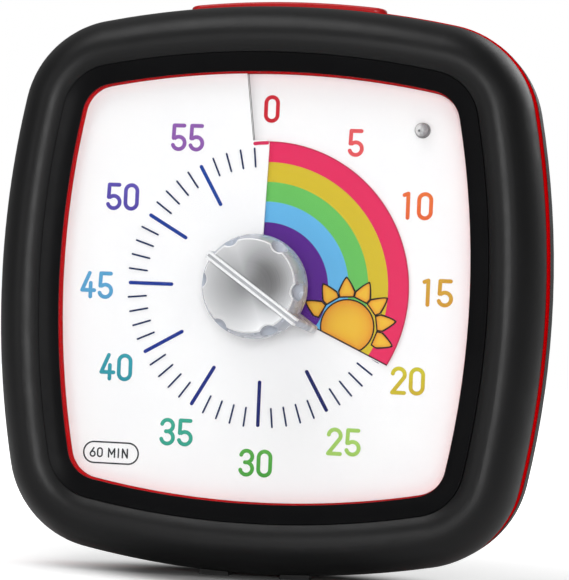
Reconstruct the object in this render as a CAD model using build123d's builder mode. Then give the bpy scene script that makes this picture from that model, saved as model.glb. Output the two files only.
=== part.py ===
"""Visual countdown timer with a helical dial, a coloured time disc and a turning knob.

Millimetres.  +X is the viewer's right, -Y faces the viewer, +Z is up.  The origin lies on the
table under the middle of the timer.  A "depth" is measured from the dial's front face at twelve
o'clock, positive towards the back.  A "grow" is a distance outwards from the window's edge, and
dial angles run clockwise from twelve o'clock as the viewer sees them.
"""
from build123d import *
from math import asin, atan2, cos, degrees, hypot, radians, sin, sqrt, tan
import os

os.makedirs("parts", exist_ok=True)

# ---- case outline: four long arcs and four corner arcs, all curves share their centres
WINDOW_HALF_WIDTH = 70.66
WINDOW_HALF_HEIGHT = 72.85
SIDE_RADIUS = 297.7
TOP_RADIUS = 289.5
CORNER_RADIUS = 11.26
CASE_GROW = 24.6
BELT_GROW = CASE_GROW - 0.2
BEZEL_GROW = CASE_GROW - 0.9

# ---- depths of the main faces
LIP_DEPTH = -5.9
RING_OUTER_DEPTH = -8.13
BEZEL_REAR = 10.5
WEB_THICKNESS = 2.0
BELT_REAR = 15.5
CASE_BACK = 33.5
KNOB_FRONT = -26.3

# ---- walls and clearances
BEZEL_WALL = 2.4
COVER_WALL = 2.2
BACK_WALL = 2.6
WELL_WALL = 1.6
FIT = 0.15
RUNNING = 0.08
CASE_LIFT = 0.8

# ---- ring, lens, dial and disc
RING_WIDTH = 6.2
RING_FLANGE = 9.5
LENS_THICKNESS = 1.2
LENS_GROW = 2.1
DIAL_THICKNESS = 0.8
DIAL_GROW = -0.35
DIAL_HOLE_RADIUS = 9.0
DIAL_PITCH = 2.0
DIAL_UNDERLAP = 10.0
DISC_RADIUS = 49.65
DISC_THICKNESS = 0.3
DISC_ANGLE = 357.0
REST_ANGLE = 120.0
EDGE_OFFSET = 4.5
HUB_RADIUS = 6.0

# ---- knob and shaft
KNOB_BASE_DEPTH = -6.5
KNOB_WIDE_DEPTH = -12.0
KNOB_RIM_DEPTH = -24.2
KNOB_BASE_RADIUS = 15.9
KNOB_WIDE_RADIUS = 17.3
KNOB_RIM_RADIUS = 15.6
KNOB_WALL = 1.8
NOTCH_COUNT = 6
NOTCH_RADIUS = 3.2
NOTCH_DEPTH = 1.2
POINTER_WIDTH = 2.7
POINTER_FRONT_REACH = 20.2
POINTER_FOOT_REACH = 24.2
POINTER_BACK_REACH = 17.7
POINTER_OFFSET = 5.0
SCOOP_DEPTH = -21.5
CAP_THICKNESS = 1.0
CAP_DOME = 0.7
CAP_CHAMFER = 0.45
RIDGE_ROUNDING = 0.35
FIN_ROUNDING = 0.9
RIDGE_WIDTH = 0.9
SHAFT_RADIUS = 2.8
JOURNAL_RADIUS = 2.0
PIVOT_RADIUS = 1.5
SHAFT_FLAT = 2.1

# ---- movement box and its wheels
MOVEMENT_MARGIN = 1.6
MOVEMENT_WALL = 1.5
MOVEMENT_DEPTH = 14.0
MODULE = 0.35
WHEEL_TEETH = 60
PINION_TEETH = 12
PRESSURE_ANGLE = 25.0
BACKLASH = 0.07
WHEEL_THICKNESS = 1.0
LEVEL_STEP = 2.7
PINION_LEAD = 0.3
ARBOR_REACH = 1.2
ARBOR_PLAY = 0.2
THIRD_DIRECTION = 210.0
FOURTH_DIRECTION = 100.0
ROTOR_DIRECTION = 40.0
ARBOR_RADIUS = 0.6
BUSH_RADIUS = 4.4

# ---- battery bay and cells
CELL_RADIUS = 7.1
CELL_LENGTH = 49.3
CELL_NUB_LENGTH = 1.0
CELL_NUB_RADIUS = 2.7
BAY_LENGTH = 58.0
BAY_TOP = -34.0
BAY_WALL = 1.4
CELL_GAP = 0.5
DOOR_THICKNESS = 2.6
DOOR_MARGIN = 2.5
DOOR_GAP = 0.35
HINGE_PIN_RADIUS = 0.8
HINGE_PIN_LENGTH = 1.6

# ---- top button
BUTTON_HALF_LENGTH = 34.6
BUTTON_WIDTH = 8.0
BUTTON_FRONT = 17.3
BUTTON_PROUD = 2.3
BUTTON_ROUNDING = 1.0
BUTTON_TRAVEL = 1.5
BUTTON_SLOT_GAP = 0.3
FLANGE_THICKNESS = 1.5
FLANGE_MARGIN = 2.0
SPRING_X = 26.0
SPRING_COIL_RADIUS = 3.2
SPRING_WIRE_RADIUS = 0.35
SPRING_TURNS = 6
SHELF_HEIGHT = 76.0
SHELF_THICKNESS = 2.0

# ---- light, board, sounder and switches
LAMP_X = 51.9
LAMP_Z = 54.6
LAMP_RADIUS = 2.5
BOARD_THICKNESS = 1.6
BOARD_DEPTH = 22.0
BOARD_X = 10.0
BOARD_Z = 47.0
BOARD_LENGTH = 72.0
BOARD_HEIGHT = 26.0
SWITCH_Z = 48.0
VOLUME_X = 2.0
DURATION_X = 28.0
SLIDER_TRAVEL = 2.0
SOUNDER_X = -45.0
SOUNDER_Z = 45.0
SOUNDER_RADIUS = 12.0

# ---- fixings and feet
SCREW_GROW = 14.5
SCREW_SHANK_RADIUS = 1.2
SCREW_HEAD_RADIUS = 2.7
SCREW_HEAD_HEIGHT = 1.8
BOSS_RADIUS = 3.6
FOOT_X = 14.0
FOOT_LENGTH = 10.0
FOOT_WIDTH = 5.0
FRONT_FOOT_DEPTH = 5.5
REAR_FOOT_DEPTH = 23.0
LAND_HEIGHT = 2.2
FOOT_THICKNESS = 0.8
KEYHOLE_Z = 64.0
KEYHOLE_RADIUS = 4.0
KEYHOLE_SLOT_RADIUS = 2.2
KEYHOLE_RISE = 8.0

# ---- worked-out places
DIAL_Z = CASE_LIFT + WINDOW_HALF_HEIGHT + CASE_GROW
DIAL_Y = -(CASE_BACK + KNOB_FRONT) / 2
WEB_REAR = BEZEL_REAR + WEB_THICKNESS
LENS_FRONT = LIP_DEPTH + 0.35
LENS_REAR = LENS_FRONT + LENS_THICKNESS
BACK_INSIDE = CASE_BACK - BACK_WALL
POINTER_ANGLE = REST_ANGLE + POINTER_OFFSET


def level(depth, x=0.0, z=0.0):
    """Plane at a depth, facing the viewer, with its origin x, z from the dial's centre."""
    return Plane(origin=(x, DIAL_Y + depth, DIAL_Z + z), x_dir=(1, 0, 0), z_dir=(0, -1, 0))


def turned_level(depth, angle):
    """Plane at a depth whose local x points to a dial angle."""
    return Plane(
        origin=(0, DIAL_Y + depth, DIAL_Z),
        x_dir=(sin(radians(angle)), 0, cos(radians(angle))),
        z_dir=(0, -1, 0),
    )


def corner_centre():
    """Centre of the upper right corner arc, tangent inside both long arcs."""
    side_x = WINDOW_HALF_WIDTH - SIDE_RADIUS
    top_z = WINDOW_HALF_HEIGHT - TOP_RADIUS
    from_side = SIDE_RADIUS - CORNER_RADIUS
    from_top = TOP_RADIUS - CORNER_RADIUS
    apart = hypot(side_x, top_z)
    along = (from_side**2 - from_top**2 + apart**2) / (2 * apart)
    across = sqrt(from_side**2 - along**2)
    unit_x = -side_x / apart
    unit_z = top_z / apart
    return side_x + along * unit_x - across * unit_z, along * unit_z + across * unit_x


CORNER_X, CORNER_Z = corner_centre()
SIDE_ANGLE = degrees(atan2(CORNER_Z, CORNER_X - WINDOW_HALF_WIDTH + SIDE_RADIUS))
TOP_ANGLE = degrees(atan2(CORNER_Z - WINDOW_HALF_HEIGHT + TOP_RADIUS, CORNER_X))
SCREW_X = CORNER_X + (CORNER_RADIUS + SCREW_GROW) * cos(radians(45))
SCREW_Z = CORNER_Z + (CORNER_RADIUS + SCREW_GROW) * sin(radians(45))


def outline(grow):
    """The case outline at a grow, as arcs in the current line context."""
    side_x = WINDOW_HALF_WIDTH - SIDE_RADIUS
    top_z = WINDOW_HALF_HEIGHT - TOP_RADIUS
    bend = TOP_ANGLE - SIDE_ANGLE
    crown = 180 - 2 * TOP_ANGLE
    side = SIDE_RADIUS + grow
    top = TOP_RADIUS + grow
    corner = CORNER_RADIUS + grow
    CenterArc((side_x, 0), side, 0, SIDE_ANGLE)
    CenterArc((CORNER_X, CORNER_Z), corner, SIDE_ANGLE, bend)
    CenterArc((0, top_z), top, TOP_ANGLE, crown)
    CenterArc((-CORNER_X, CORNER_Z), corner, 180 - TOP_ANGLE, bend)
    CenterArc((-side_x, 0), side, 180 - SIDE_ANGLE, 2 * SIDE_ANGLE)
    CenterArc((-CORNER_X, -CORNER_Z), corner, 180 + SIDE_ANGLE, bend)
    CenterArc((0, -top_z), top, 180 + TOP_ANGLE, crown)
    CenterArc((CORNER_X, -CORNER_Z), corner, 360 - TOP_ANGLE, bend)
    CenterArc((side_x, 0), side, 360 - SIDE_ANGLE, SIDE_ANGLE)


def outline_face(grow):
    """Filled case outline in the current sketch."""
    with BuildLine() as rim:
        outline(grow)
    make_face(rim.edges())


def edge_height(grow, x):
    """Height of the top arc above the dial's centre at x; the bottom arc mirrors it."""
    return WINDOW_HALF_HEIGHT - TOP_RADIUS + sqrt((TOP_RADIUS + grow) ** 2 - x**2)


with BuildLine(level(0)) as window_line:
    outline(0)

SECTION = Plane(origin=(WINDOW_HALF_WIDTH, DIAL_Y, DIAL_Z), x_dir=(1, 0, 0), z_dir=(0, 0, 1))


def strip(inner, outer, front, rear):
    """Rectangle of the wall section, from grow inner to outer and depth front to rear."""
    with Locations(((inner + outer) / 2, (front + rear) / 2)):
        Rectangle(outer - inner, rear - front)


def four_corners(x, z):
    """The four mirrored places of a point about the dial's centre."""
    return [(x, z), (-x, z), (-x, -z), (x, -z)]


def foot_places(depth):
    """The two places of the feet at a depth, seen from above."""
    return [(-FOOT_X, DIAL_Y + depth), (FOOT_X, DIAL_Y + depth)]


def spiral_sheet(inner, outer, thickness, start, turn, front):
    """Sheet that climbs DIAL_PITCH towards the viewer in each clockwise turn.

    `front` is the depth of its front face where it passes twelve o'clock.
    """
    first = (sin(radians(start)), 0, cos(radians(start)))
    turned = Plane(origin=(0, DIAL_Y, DIAL_Z), x_dir=first, z_dir=(0, -1, 0))
    middle = (inner + outer) / 2
    depth = front - DIAL_PITCH * start / 360 + thickness / 2
    helix = Edge.make_helix(DIAL_PITCH, DIAL_PITCH * turn / 360, middle, lefthand=True)
    with BuildLine() as rail:
        add(turned.from_local_coords(helix))
    across = turned.x_dir.cross(Vector(0, -1, 0))
    with BuildSketch(Plane(origin=(0, DIAL_Y + depth, DIAL_Z), x_dir=first, z_dir=across)) as section:
        with Locations((middle, 0)):
            Rectangle(outer - inner, thickness)
    sweep(section.sketch, path=rail.line, is_frenet=True)


def dial_front(x, z):
    """Depth of the dial's front face at a point of its first turn."""
    return -DIAL_PITCH * (degrees(atan2(x, z)) % 360) / 360


# ---- places of the wheels about the shaft, and the movement box that they need
WHEEL_RADIUS = MODULE * WHEEL_TEETH / 2
PINION_RADIUS = MODULE * PINION_TEETH / 2
CENTRE_DISTANCE = WHEEL_RADIUS + PINION_RADIUS


def stepped(start, direction):
    """Point one centre distance from another, at an angle from +X towards +Z."""
    return (
        start[0] + CENTRE_DISTANCE * cos(radians(direction)),
        start[1] + CENTRE_DISTANCE * sin(radians(direction)),
    )


THIRD = stepped((0.0, 0.0), THIRD_DIRECTION)
FOURTH = stepped(THIRD, FOURTH_DIRECTION)
ROTOR = stepped(FOURTH, ROTOR_DIRECTION)
arbor_places = [THIRD, FOURTH, ROTOR]
wheel_reach = max(abs(coordinate) for place in (THIRD, FOURTH) for coordinate in place)
MOVEMENT_SIZE = 2 * (wheel_reach + WHEEL_RADIUS + MODULE + MOVEMENT_MARGIN + MOVEMENT_WALL)

# ---- front bezel: a swept elliptic shell with four screw bosses and two foot lands.  Its lower
# half is repeated a little lower, so that it comes down as far as the rear cover
CROWN_GROW = 12.0
CROWN_ACROSS = BEZEL_GROW - CROWN_GROW
CROWN_RISE = 18.9
CROWN_BASE = 8.7
BOSS_FRONT = CROWN_BASE - 0.8 * CROWN_RISE
BEZEL_EDGE = RING_WIDTH + FIT
RIM_DEPTH = -6.45
RIM_INNER_GROW = 8.4
CHIN_DROP = CASE_GROW - BEZEL_GROW
outer_start = degrees(asin((BEZEL_EDGE - CROWN_GROW) / CROWN_ACROSS)) - 90
inner_start = degrees(asin((RIM_INNER_GROW - CROWN_GROW) / (CROWN_ACROSS - BEZEL_WALL))) - 90

with BuildPart() as front_bezel:
    with BuildSketch(SECTION):
        with BuildLine():
            crown = EllipticalCenterArc(
                (CROWN_GROW, CROWN_BASE), CROWN_ACROSS, CROWN_RISE,
                start_angle=outer_start, arc_size=-outer_start,
            )
            hollow = EllipticalCenterArc(
                (CROWN_GROW, CROWN_BASE), CROWN_ACROSS - BEZEL_WALL, CROWN_RISE - BEZEL_WALL,
                start_angle=inner_start, arc_size=-inner_start,
            )
            wall_rear = (BEZEL_GROW - BEZEL_WALL, BEZEL_REAR)
            Polyline(crown @ 1, (BEZEL_GROW, BEZEL_REAR), wall_rear, hollow @ 1)
            rim_inner = (RIM_INNER_GROW, RIM_DEPTH)
            Polyline(crown @ 0, (BEZEL_EDGE, RIM_DEPTH), rim_inner, hollow @ 0)
        make_face()
    sweep(path=window_line.line)
    chin = split(front_bezel.part, bisect_by=Plane.XY.offset(DIAL_Z), keep=Keep.BOTTOM, mode=Mode.PRIVATE)
    add(chin.moved(Location((0, 0, -CHIN_DROP))))
    with BuildSketch(level(BEZEL_REAR - FIT)):
        with Locations(*four_corners(SCREW_X, SCREW_Z)):
            Circle(BOSS_RADIUS)
    extrude(amount=BEZEL_REAR - FIT - BOSS_FRONT)
    with BuildSketch(level(BEZEL_REAR - FIT)):
        with Locations(*four_corners(SCREW_X, SCREW_Z)):
            Circle(SCREW_SHANK_RADIUS + 0.05)
    extrude(amount=13.0, mode=Mode.SUBTRACT)
    with BuildSketch(Plane.XY.offset(FOOT_THICKNESS)):
        with Locations(*foot_places(FRONT_FOOT_DEPTH)):
            Rectangle(FOOT_LENGTH, FOOT_WIDTH)
    extrude(amount=LAND_HEIGHT)
front_bezel.part.label = "front_bezel"
export_step(front_bezel.part, "parts/front_bezel.step")

# ---- window ring: the gloss funnel between the bezel and the lens
with BuildPart() as window_ring:
    with BuildSketch(SECTION):
        with BuildLine():
            slope = ThreePointArc(
                (0, LIP_DEPTH),
                (RING_WIDTH / 2, (LIP_DEPTH + RING_OUTER_DEPTH) / 2 - 0.25),
                (RING_WIDTH, RING_OUTER_DEPTH),
            )
            Polyline(
                slope @ 1,
                (RING_WIDTH, RIM_DEPTH + 0.1),
                (RING_FLANGE, RIM_DEPTH + 0.1),
                (RING_FLANGE, LENS_REAR),
                (LENS_GROW + FIT, LENS_REAR),
                (LENS_GROW + FIT, LENS_FRONT - 0.05),
                (0, LENS_FRONT - 0.05),
                (0, LIP_DEPTH),
            )
        make_face()
    sweep(path=window_line.line)
window_ring.part.label = "window_ring"
export_step(window_ring.part, "parts/window_ring.step")

# ---- lens: clear sheet with a hole for the shaft
LENS_HOLE_RADIUS = 4.5
with BuildPart() as lens:
    with BuildSketch(level(LENS_REAR)):
        outline_face(LENS_GROW)
        Circle(LENS_HOLE_RADIUS, mode=Mode.SUBTRACT)
    extrude(amount=LENS_THICKNESS)
lens.part.label = "lens"
export_step(lens.part, "parts/lens.step")

# ---- mid frame: red belt, window well, web, dial posts and the shelf under the button
WELL_GROW = -0.15
WELL_FRONT = LENS_REAR + 0.05
RING_SEAT_GROW = 6.6
WEB_REACH = -4.0
RIB_WALL = 1.7
RIB_REACH = 2.5
OVERLAP = 0.5
cover_inside = CASE_GROW - COVER_WALL
bezel_inside = BEZEL_GROW - BEZEL_WALL
POST_RADIUS = 1.6
POST_GROW = -2.6
BUTTON_REAR = BUTTON_FRONT + BUTTON_WIDTH
SHELF_HALF_LENGTH = SPRING_X + 8.0
post_places = [
    (WINDOW_HALF_WIDTH + POST_GROW, 25.0), (WINDOW_HALF_WIDTH + POST_GROW, -25.0),
    (-WINDOW_HALF_WIDTH - POST_GROW, 25.0), (-WINDOW_HALF_WIDTH - POST_GROW, -25.0),
    (25.0, WINDOW_HALF_HEIGHT + POST_GROW - 1), (25.0, -WINDOW_HALF_HEIGHT - POST_GROW + 1),
    (-25.0, WINDOW_HALF_HEIGHT + POST_GROW - 1), (-25.0, -WINDOW_HALF_HEIGHT - POST_GROW + 1),
]
movement_half = MOVEMENT_SIZE / 2
LUG_REACH = movement_half + 3.2
LUG_Z = 14.0
lug_places = [(LUG_REACH, LUG_Z), (-LUG_REACH, LUG_Z), (-LUG_REACH, -LUG_Z), (LUG_REACH, -LUG_Z)]

with BuildPart() as mid_frame:
    with BuildSketch(SECTION):
        strip(WEB_REACH, BELT_GROW, BEZEL_REAR, WEB_REAR)
        strip(cover_inside - FIT, BELT_GROW, BEZEL_REAR, BELT_REAR)
        strip(cover_inside - FIT - RIB_WALL, cover_inside - FIT, WEB_REAR - OVERLAP, BELT_REAR + RIB_REACH)
        strip(bezel_inside - FIT - RIB_WALL, bezel_inside - FIT, BEZEL_REAR - RIB_REACH, BEZEL_REAR + OVERLAP)
        strip(WELL_GROW, WELL_GROW + WELL_WALL, WELL_FRONT, BEZEL_REAR + OVERLAP)
        strip(RING_SEAT_GROW, RING_SEAT_GROW + WELL_WALL, WELL_FRONT, BEZEL_REAR + OVERLAP)
    sweep(path=window_line.line)
    with BuildSketch(level(WEB_REAR)):
        outline_face(WEB_REACH + 0.1)
        Circle(BUSH_RADIUS + 0.3, mode=Mode.SUBTRACT)
        with Locations((0, -58), (0, 52)):
            RectangleRounded(70, 16, 4, mode=Mode.SUBTRACT)
        with Locations((-52, 0), (52, 0)):
            RectangleRounded(14, 60, 4, mode=Mode.SUBTRACT)
    extrude(amount=WEB_THICKNESS)
    for post_x, post_z in post_places:
        with BuildSketch(level(WEB_REAR, post_x, post_z)):
            Circle(POST_RADIUS)
        extrude(amount=WEB_REAR - dial_front(post_x, post_z) - DIAL_THICKNESS - 0.1)
    with BuildSketch(level(WEB_REAR + 0.01)):
        with Locations(*four_corners(SCREW_X, SCREW_Z)):
            Circle(SCREW_SHANK_RADIUS + 0.4)
    extrude(amount=WEB_THICKNESS + 0.02, mode=Mode.SUBTRACT)
    with BuildSketch(level(WEB_REAR)):
        with Locations(*lug_places):
            Circle(BOSS_RADIUS)
    extrude(amount=5.0)
    with BuildSketch(level(WEB_REAR)):
        with Locations(*lug_places):
            Circle(SCREW_SHANK_RADIUS + 0.05)
    extrude(amount=4.5, mode=Mode.SUBTRACT)
    with BuildSketch(level(BUTTON_REAR + 2.0)):
        with Locations((0, 90.0)):
            Rectangle(2 * (BUTTON_HALF_LENGTH + FLANGE_MARGIN + 1.5), 14.0)
    extrude(amount=BUTTON_REAR + 2.0 - BELT_REAR, mode=Mode.SUBTRACT)
    with BuildSketch(level(BUTTON_REAR + 2.0, 0, SHELF_HEIGHT - SHELF_THICKNESS / 2)):
        Rectangle(2 * SHELF_HALF_LENGTH, SHELF_THICKNESS)
    extrude(amount=BUTTON_REAR + 2.0 - WEB_REAR + 0.5)
    with BuildSketch(Plane.XY.offset(DIAL_Z + SHELF_HEIGHT - 0.01)):
        with Locations((-SPRING_X, DIAL_Y + BUTTON_FRONT + 4), (SPRING_X, DIAL_Y + BUTTON_FRONT + 4)):
            Circle(SPRING_COIL_RADIUS - SPRING_WIRE_RADIUS - 0.4)
    extrude(amount=5.0)
    with BuildSketch(level(WEB_REAR + 0.01, LAMP_X, LAMP_Z)):
        Circle(2.0)
    extrude(amount=WEB_THICKNESS + 0.02, mode=Mode.SUBTRACT)
mid_frame.part.label = "mid_frame"
export_step(mid_frame.part, "parts/mid_frame.step")

# ---- dial plate: one helical sheet trimmed to the window well, with the slit at twelve
DIAL_OVERRUN = 8.0
BLANK_RADIUS = 115.0
CUT_MARGIN = 1.0
SLIT_FRONT = -DIAL_PITCH - CUT_MARGIN
SLIT_REAR = (DIAL_THICKNESS - DIAL_PITCH) / 2 - DIAL_THICKNESS / 4
SHOULDER_RADIUS = DISC_RADIUS + 0.4
with BuildPart() as dial_plate:
    dial_turn = 360 + DIAL_OVERRUN + DIAL_UNDERLAP
    spiral_sheet(DIAL_HOLE_RADIUS, BLANK_RADIUS, DIAL_THICKNESS, -DIAL_UNDERLAP, dial_turn, 0.0)
    with BuildSketch(level(DIAL_THICKNESS + CUT_MARGIN)):
        outline_face(DIAL_GROW)
    extrude(amount=DIAL_THICKNESS + DIAL_PITCH + 3 * CUT_MARGIN, mode=Mode.INTERSECT)
    with BuildSketch(level(SLIT_REAR)):
        with BuildLine():
            shoulder_x = -5.6
            shoulder_z = sqrt(SHOULDER_RADIUS**2 - shoulder_x**2)
            notch = ThreePointArc(
                (shoulder_x, shoulder_z),
                (-SHOULDER_RADIUS * sin(radians(3.5)), SHOULDER_RADIUS * cos(radians(3.5))),
                (-SHOULDER_RADIUS * sin(radians(0.7)), SHOULDER_RADIUS * cos(radians(0.7))),
            )
            Polyline(
                notch @ 1, (0, SHOULDER_RADIUS - 1.0), (0, SHOULDER_RADIUS - 4.0), (-1.05, 6.0), (30.0, 6.0),
                (30.0, 80.0), (-9.6, 80.0), notch @ 0,
            )
        make_face()
    extrude(amount=SLIT_REAR - SLIT_FRONT, mode=Mode.SUBTRACT)
    with BuildSketch(level(DIAL_THICKNESS + CUT_MARGIN, LAMP_X, LAMP_Z)):
        Circle(LAMP_RADIUS + FIT)
    extrude(amount=DIAL_THICKNESS + DIAL_PITCH + 3 * CUT_MARGIN, mode=Mode.SUBTRACT)
dial_plate.part.label = "dial_plate"
export_step(dial_plate.part, "parts/dial_plate.step")

# ---- time disc: a thin helical sheet of the dial's own pitch, midway between its turns.  Its
# leading edge is straight and passes beside the centre, so the sheet first runs on past it
DISC_FRONT = -(DIAL_PITCH - DIAL_THICKNESS) / 2 - DISC_THICKNESS / 2
DISC_BORE = HUB_RADIUS + 0.05
EDGE_ANGLE = REST_ANGLE - degrees(asin(EDGE_OFFSET / DISC_RADIUS))
SHEET_END = EDGE_ANGLE + degrees(asin(EDGE_OFFSET / DISC_BORE)) + 2.0
TRIM_REAR = -DIAL_PITCH * EDGE_ANGLE / 360 + 0.1
TRIM_SIZE = 2 * DISC_RADIUS + 10.0
with BuildPart() as time_disc:
    tail = REST_ANGLE - DISC_ANGLE
    spiral_sheet(DISC_BORE, DISC_RADIUS, DISC_THICKNESS, tail, SHEET_END - tail, DISC_FRONT)
    with BuildSketch(turned_level(DISC_FRONT + TRIM_REAR + DISC_THICKNESS, EDGE_ANGLE)):
        with Locations((0, -EDGE_OFFSET - TRIM_SIZE / 2)):
            Rectangle(TRIM_SIZE, TRIM_SIZE)
    extrude(amount=3.0, mode=Mode.SUBTRACT)
time_disc.part.label = "time_disc"
export_step(time_disc.part, "parts/time_disc.step")

# ---- disc hub: slides on the shaft's flat
HUB_FRONT = -2.3
HUB_REAR = 1.7
with BuildPart() as disc_hub:
    with BuildSketch(level(HUB_REAR)):
        Circle(HUB_RADIUS)
        Circle(SHAFT_RADIUS + RUNNING, mode=Mode.SUBTRACT)
    extrude(amount=HUB_REAR - HUB_FRONT)
    with BuildSketch(turned_level(HUB_REAR, REST_ANGLE)):
        with Locations(((SHAFT_FLAT + RUNNING + SHAFT_RADIUS + 1.0) / 2, 0)):
            Rectangle(SHAFT_RADIUS + 1.0 - SHAFT_FLAT - RUNNING, 2 * SHAFT_RADIUS)
    extrude(amount=HUB_REAR - HUB_FRONT)
disc_hub.part.label = "disc_hub"
export_step(disc_hub.part, "parts/disc_hub.step")


# ---- movement box: base and cover
MOVEMENT_FRONT = WEB_REAR
MOVEMENT_REAR = MOVEMENT_FRONT + MOVEMENT_DEPTH
MOVEMENT_FLOOR = MOVEMENT_FRONT + MOVEMENT_WALL
COVER_FRONT = MOVEMENT_REAR - MOVEMENT_WALL
ARBOR_REAR = COVER_FRONT + ARBOR_REACH

with BuildPart() as movement_base:
    with BuildSketch(level(COVER_FRONT)):
        RectangleRounded(MOVEMENT_SIZE, MOVEMENT_SIZE, 4)
    extrude(amount=COVER_FRONT - MOVEMENT_FRONT)
    with BuildSketch(level(COVER_FRONT)):
        RectangleRounded(MOVEMENT_SIZE - 2 * MOVEMENT_WALL, MOVEMENT_SIZE - 2 * MOVEMENT_WALL, 2.5)
    extrude(amount=COVER_FRONT - MOVEMENT_FLOOR, mode=Mode.SUBTRACT)
    with BuildSketch(level(MOVEMENT_FLOOR)):
        with Locations((-LUG_REACH + 1, LUG_Z), (-LUG_REACH + 1, -LUG_Z)):
            Rectangle(8.4, 7.0)
        with Locations((LUG_REACH - 1, LUG_Z), (LUG_REACH - 1, -LUG_Z)):
            Rectangle(8.4, 7.0)
    extrude(amount=MOVEMENT_WALL)
    with BuildSketch(level(MOVEMENT_FLOOR)):
        Circle(BUSH_RADIUS + 0.02)
        with Locations(*lug_places):
            Circle(SCREW_SHANK_RADIUS + 0.3)
        with Locations(*arbor_places):
            Circle(ARBOR_RADIUS + RUNNING)
    extrude(amount=MOVEMENT_WALL, mode=Mode.SUBTRACT)
movement_base.part.label = "movement_base"
export_step(movement_base.part, "parts/movement_base.step")

with BuildPart() as movement_cover:
    with BuildSketch(level(MOVEMENT_REAR)):
        RectangleRounded(MOVEMENT_SIZE, MOVEMENT_SIZE, 4)
        Circle(PIVOT_RADIUS + RUNNING, mode=Mode.SUBTRACT)
        with Locations(*arbor_places):
            Circle(ARBOR_RADIUS + RUNNING, mode=Mode.SUBTRACT)
    extrude(amount=MOVEMENT_WALL)
    fillet(movement_cover.faces().sort_by(Axis.Y)[-1].outer_wire().edges(), 0.6)
movement_cover.part.label = "movement_cover"
export_step(movement_cover.part, "parts/movement_cover.step")

with BuildPart() as shaft_bushing:
    with BuildSketch(level(MOVEMENT_FLOOR)):
        Circle(BUSH_RADIUS)
        Circle(JOURNAL_RADIUS + RUNNING, mode=Mode.SUBTRACT)
    extrude(amount=MOVEMENT_WALL + WEB_THICKNESS + 2.0)
    with BuildSketch(level(MOVEMENT_FLOOR + 0.8)):
        Circle(BUSH_RADIUS + 1.2)
        Circle(JOURNAL_RADIUS + RUNNING, mode=Mode.SUBTRACT)
    extrude(amount=0.8)
shaft_bushing.part.label = "shaft_bushing"
export_step(shaft_bushing.part, "parts/shaft_bushing.step")


def gear_outline(teeth):
    """Involute outline: three involute points a side, radial below the base circle, flat tips."""
    pitch = MODULE * teeth / 2
    base = pitch * cos(radians(PRESSURE_ANGLE))
    tip = pitch + 0.9 * MODULE
    root = pitch - 1.25 * MODULE
    half_tooth = 90 / teeth - degrees(BACKLASH / 2 / pitch)
    at_pitch = degrees(tan(radians(PRESSURE_ANGLE))) - PRESSURE_ANGLE
    start = max(base, root)
    flank = [(root, half_tooth + at_pitch)] if base > root else []
    for radius in (start, (start + tip) / 2, tip):
        roll = sqrt(max((radius / base) ** 2 - 1, 0.0))
        involute = degrees(roll) - degrees(atan2(roll, 1))
        flank.append((radius, half_tooth + at_pitch - involute))
    points = []
    for tooth in range(teeth):
        middle = 360 * tooth / teeth
        around = [(r, middle - a) for r, a in flank] + [(r, middle + a) for r, a in reversed(flank)]
        points += [(r * cos(radians(a)), r * sin(radians(a))) for r, a in around]
    return points


def gear_face(teeth, phase):
    """Filled gear with one tooth centred at the phase angle, in the current sketch."""
    with BuildSketch(mode=Mode.PRIVATE) as blank:
        with BuildLine():
            Polyline(*gear_outline(teeth), close=True)
        make_face()
    add(blank.sketch, rotation=phase)


def meshed_phase(driver_phase, driver_teeth, direction, teeth):
    """Phase of the next gear so that its gap meets the driver's tooth on the centre line."""
    share = ((direction - driver_phase) * driver_teeth / 360) % 1
    return direction + 180 - (0.5 - share) * 360 / teeth


FIRST_WHEEL = MOVEMENT_FLOOR + 1.6
wheel_depths = [FIRST_WHEEL + n * LEVEL_STEP for n in range(3)]
third_phase = meshed_phase(0.0, WHEEL_TEETH, THIRD_DIRECTION, PINION_TEETH)
fourth_phase = meshed_phase(third_phase, WHEEL_TEETH, FOURTH_DIRECTION, PINION_TEETH)
rotor_phase = meshed_phase(fourth_phase, WHEEL_TEETH, ROTOR_DIRECTION, PINION_TEETH)


def wheel_cutouts():
    """Four round lightening holes in a wheel, in the current sketch."""
    with PolarLocations(0.6 * WHEEL_RADIUS, 4):
        Circle(0.21 * WHEEL_RADIUS, mode=Mode.SUBTRACT)


with BuildPart() as centre_wheel:
    with BuildSketch(level(wheel_depths[0] + WHEEL_THICKNESS)):
        gear_face(WHEEL_TEETH, 0.0)
        wheel_cutouts()
        Circle(JOURNAL_RADIUS + RUNNING, mode=Mode.SUBTRACT)
    extrude(amount=WHEEL_THICKNESS)
centre_wheel.part.label = "centre_wheel"
export_step(centre_wheel.part, "parts/centre_wheel.step")


def wheel_and_pinion(place, phase, pinion_depth, wheel_depth):
    """Arbor with a pinion in the driver's level and a wheel in the next one."""
    with BuildSketch(level(ARBOR_REAR, *place)) as arbor:
        Circle(ARBOR_RADIUS)
    extrude(arbor.sketch, amount=ARBOR_REAR - MOVEMENT_FRONT - ARBOR_PLAY)
    with BuildSketch(level(wheel_depth, *place)) as pinion:
        gear_face(PINION_TEETH, phase)
    extrude(pinion.sketch, amount=wheel_depth - pinion_depth)
    with BuildSketch(level(wheel_depth + WHEEL_THICKNESS, *place)) as wheel:
        gear_face(WHEEL_TEETH, phase)
        wheel_cutouts()
    extrude(wheel.sketch, amount=WHEEL_THICKNESS)


with BuildPart() as third_wheel:
    wheel_and_pinion(THIRD, third_phase, wheel_depths[0] - PINION_LEAD, wheel_depths[1])
third_wheel.part.label = "third_wheel"
export_step(third_wheel.part, "parts/third_wheel.step")

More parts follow.
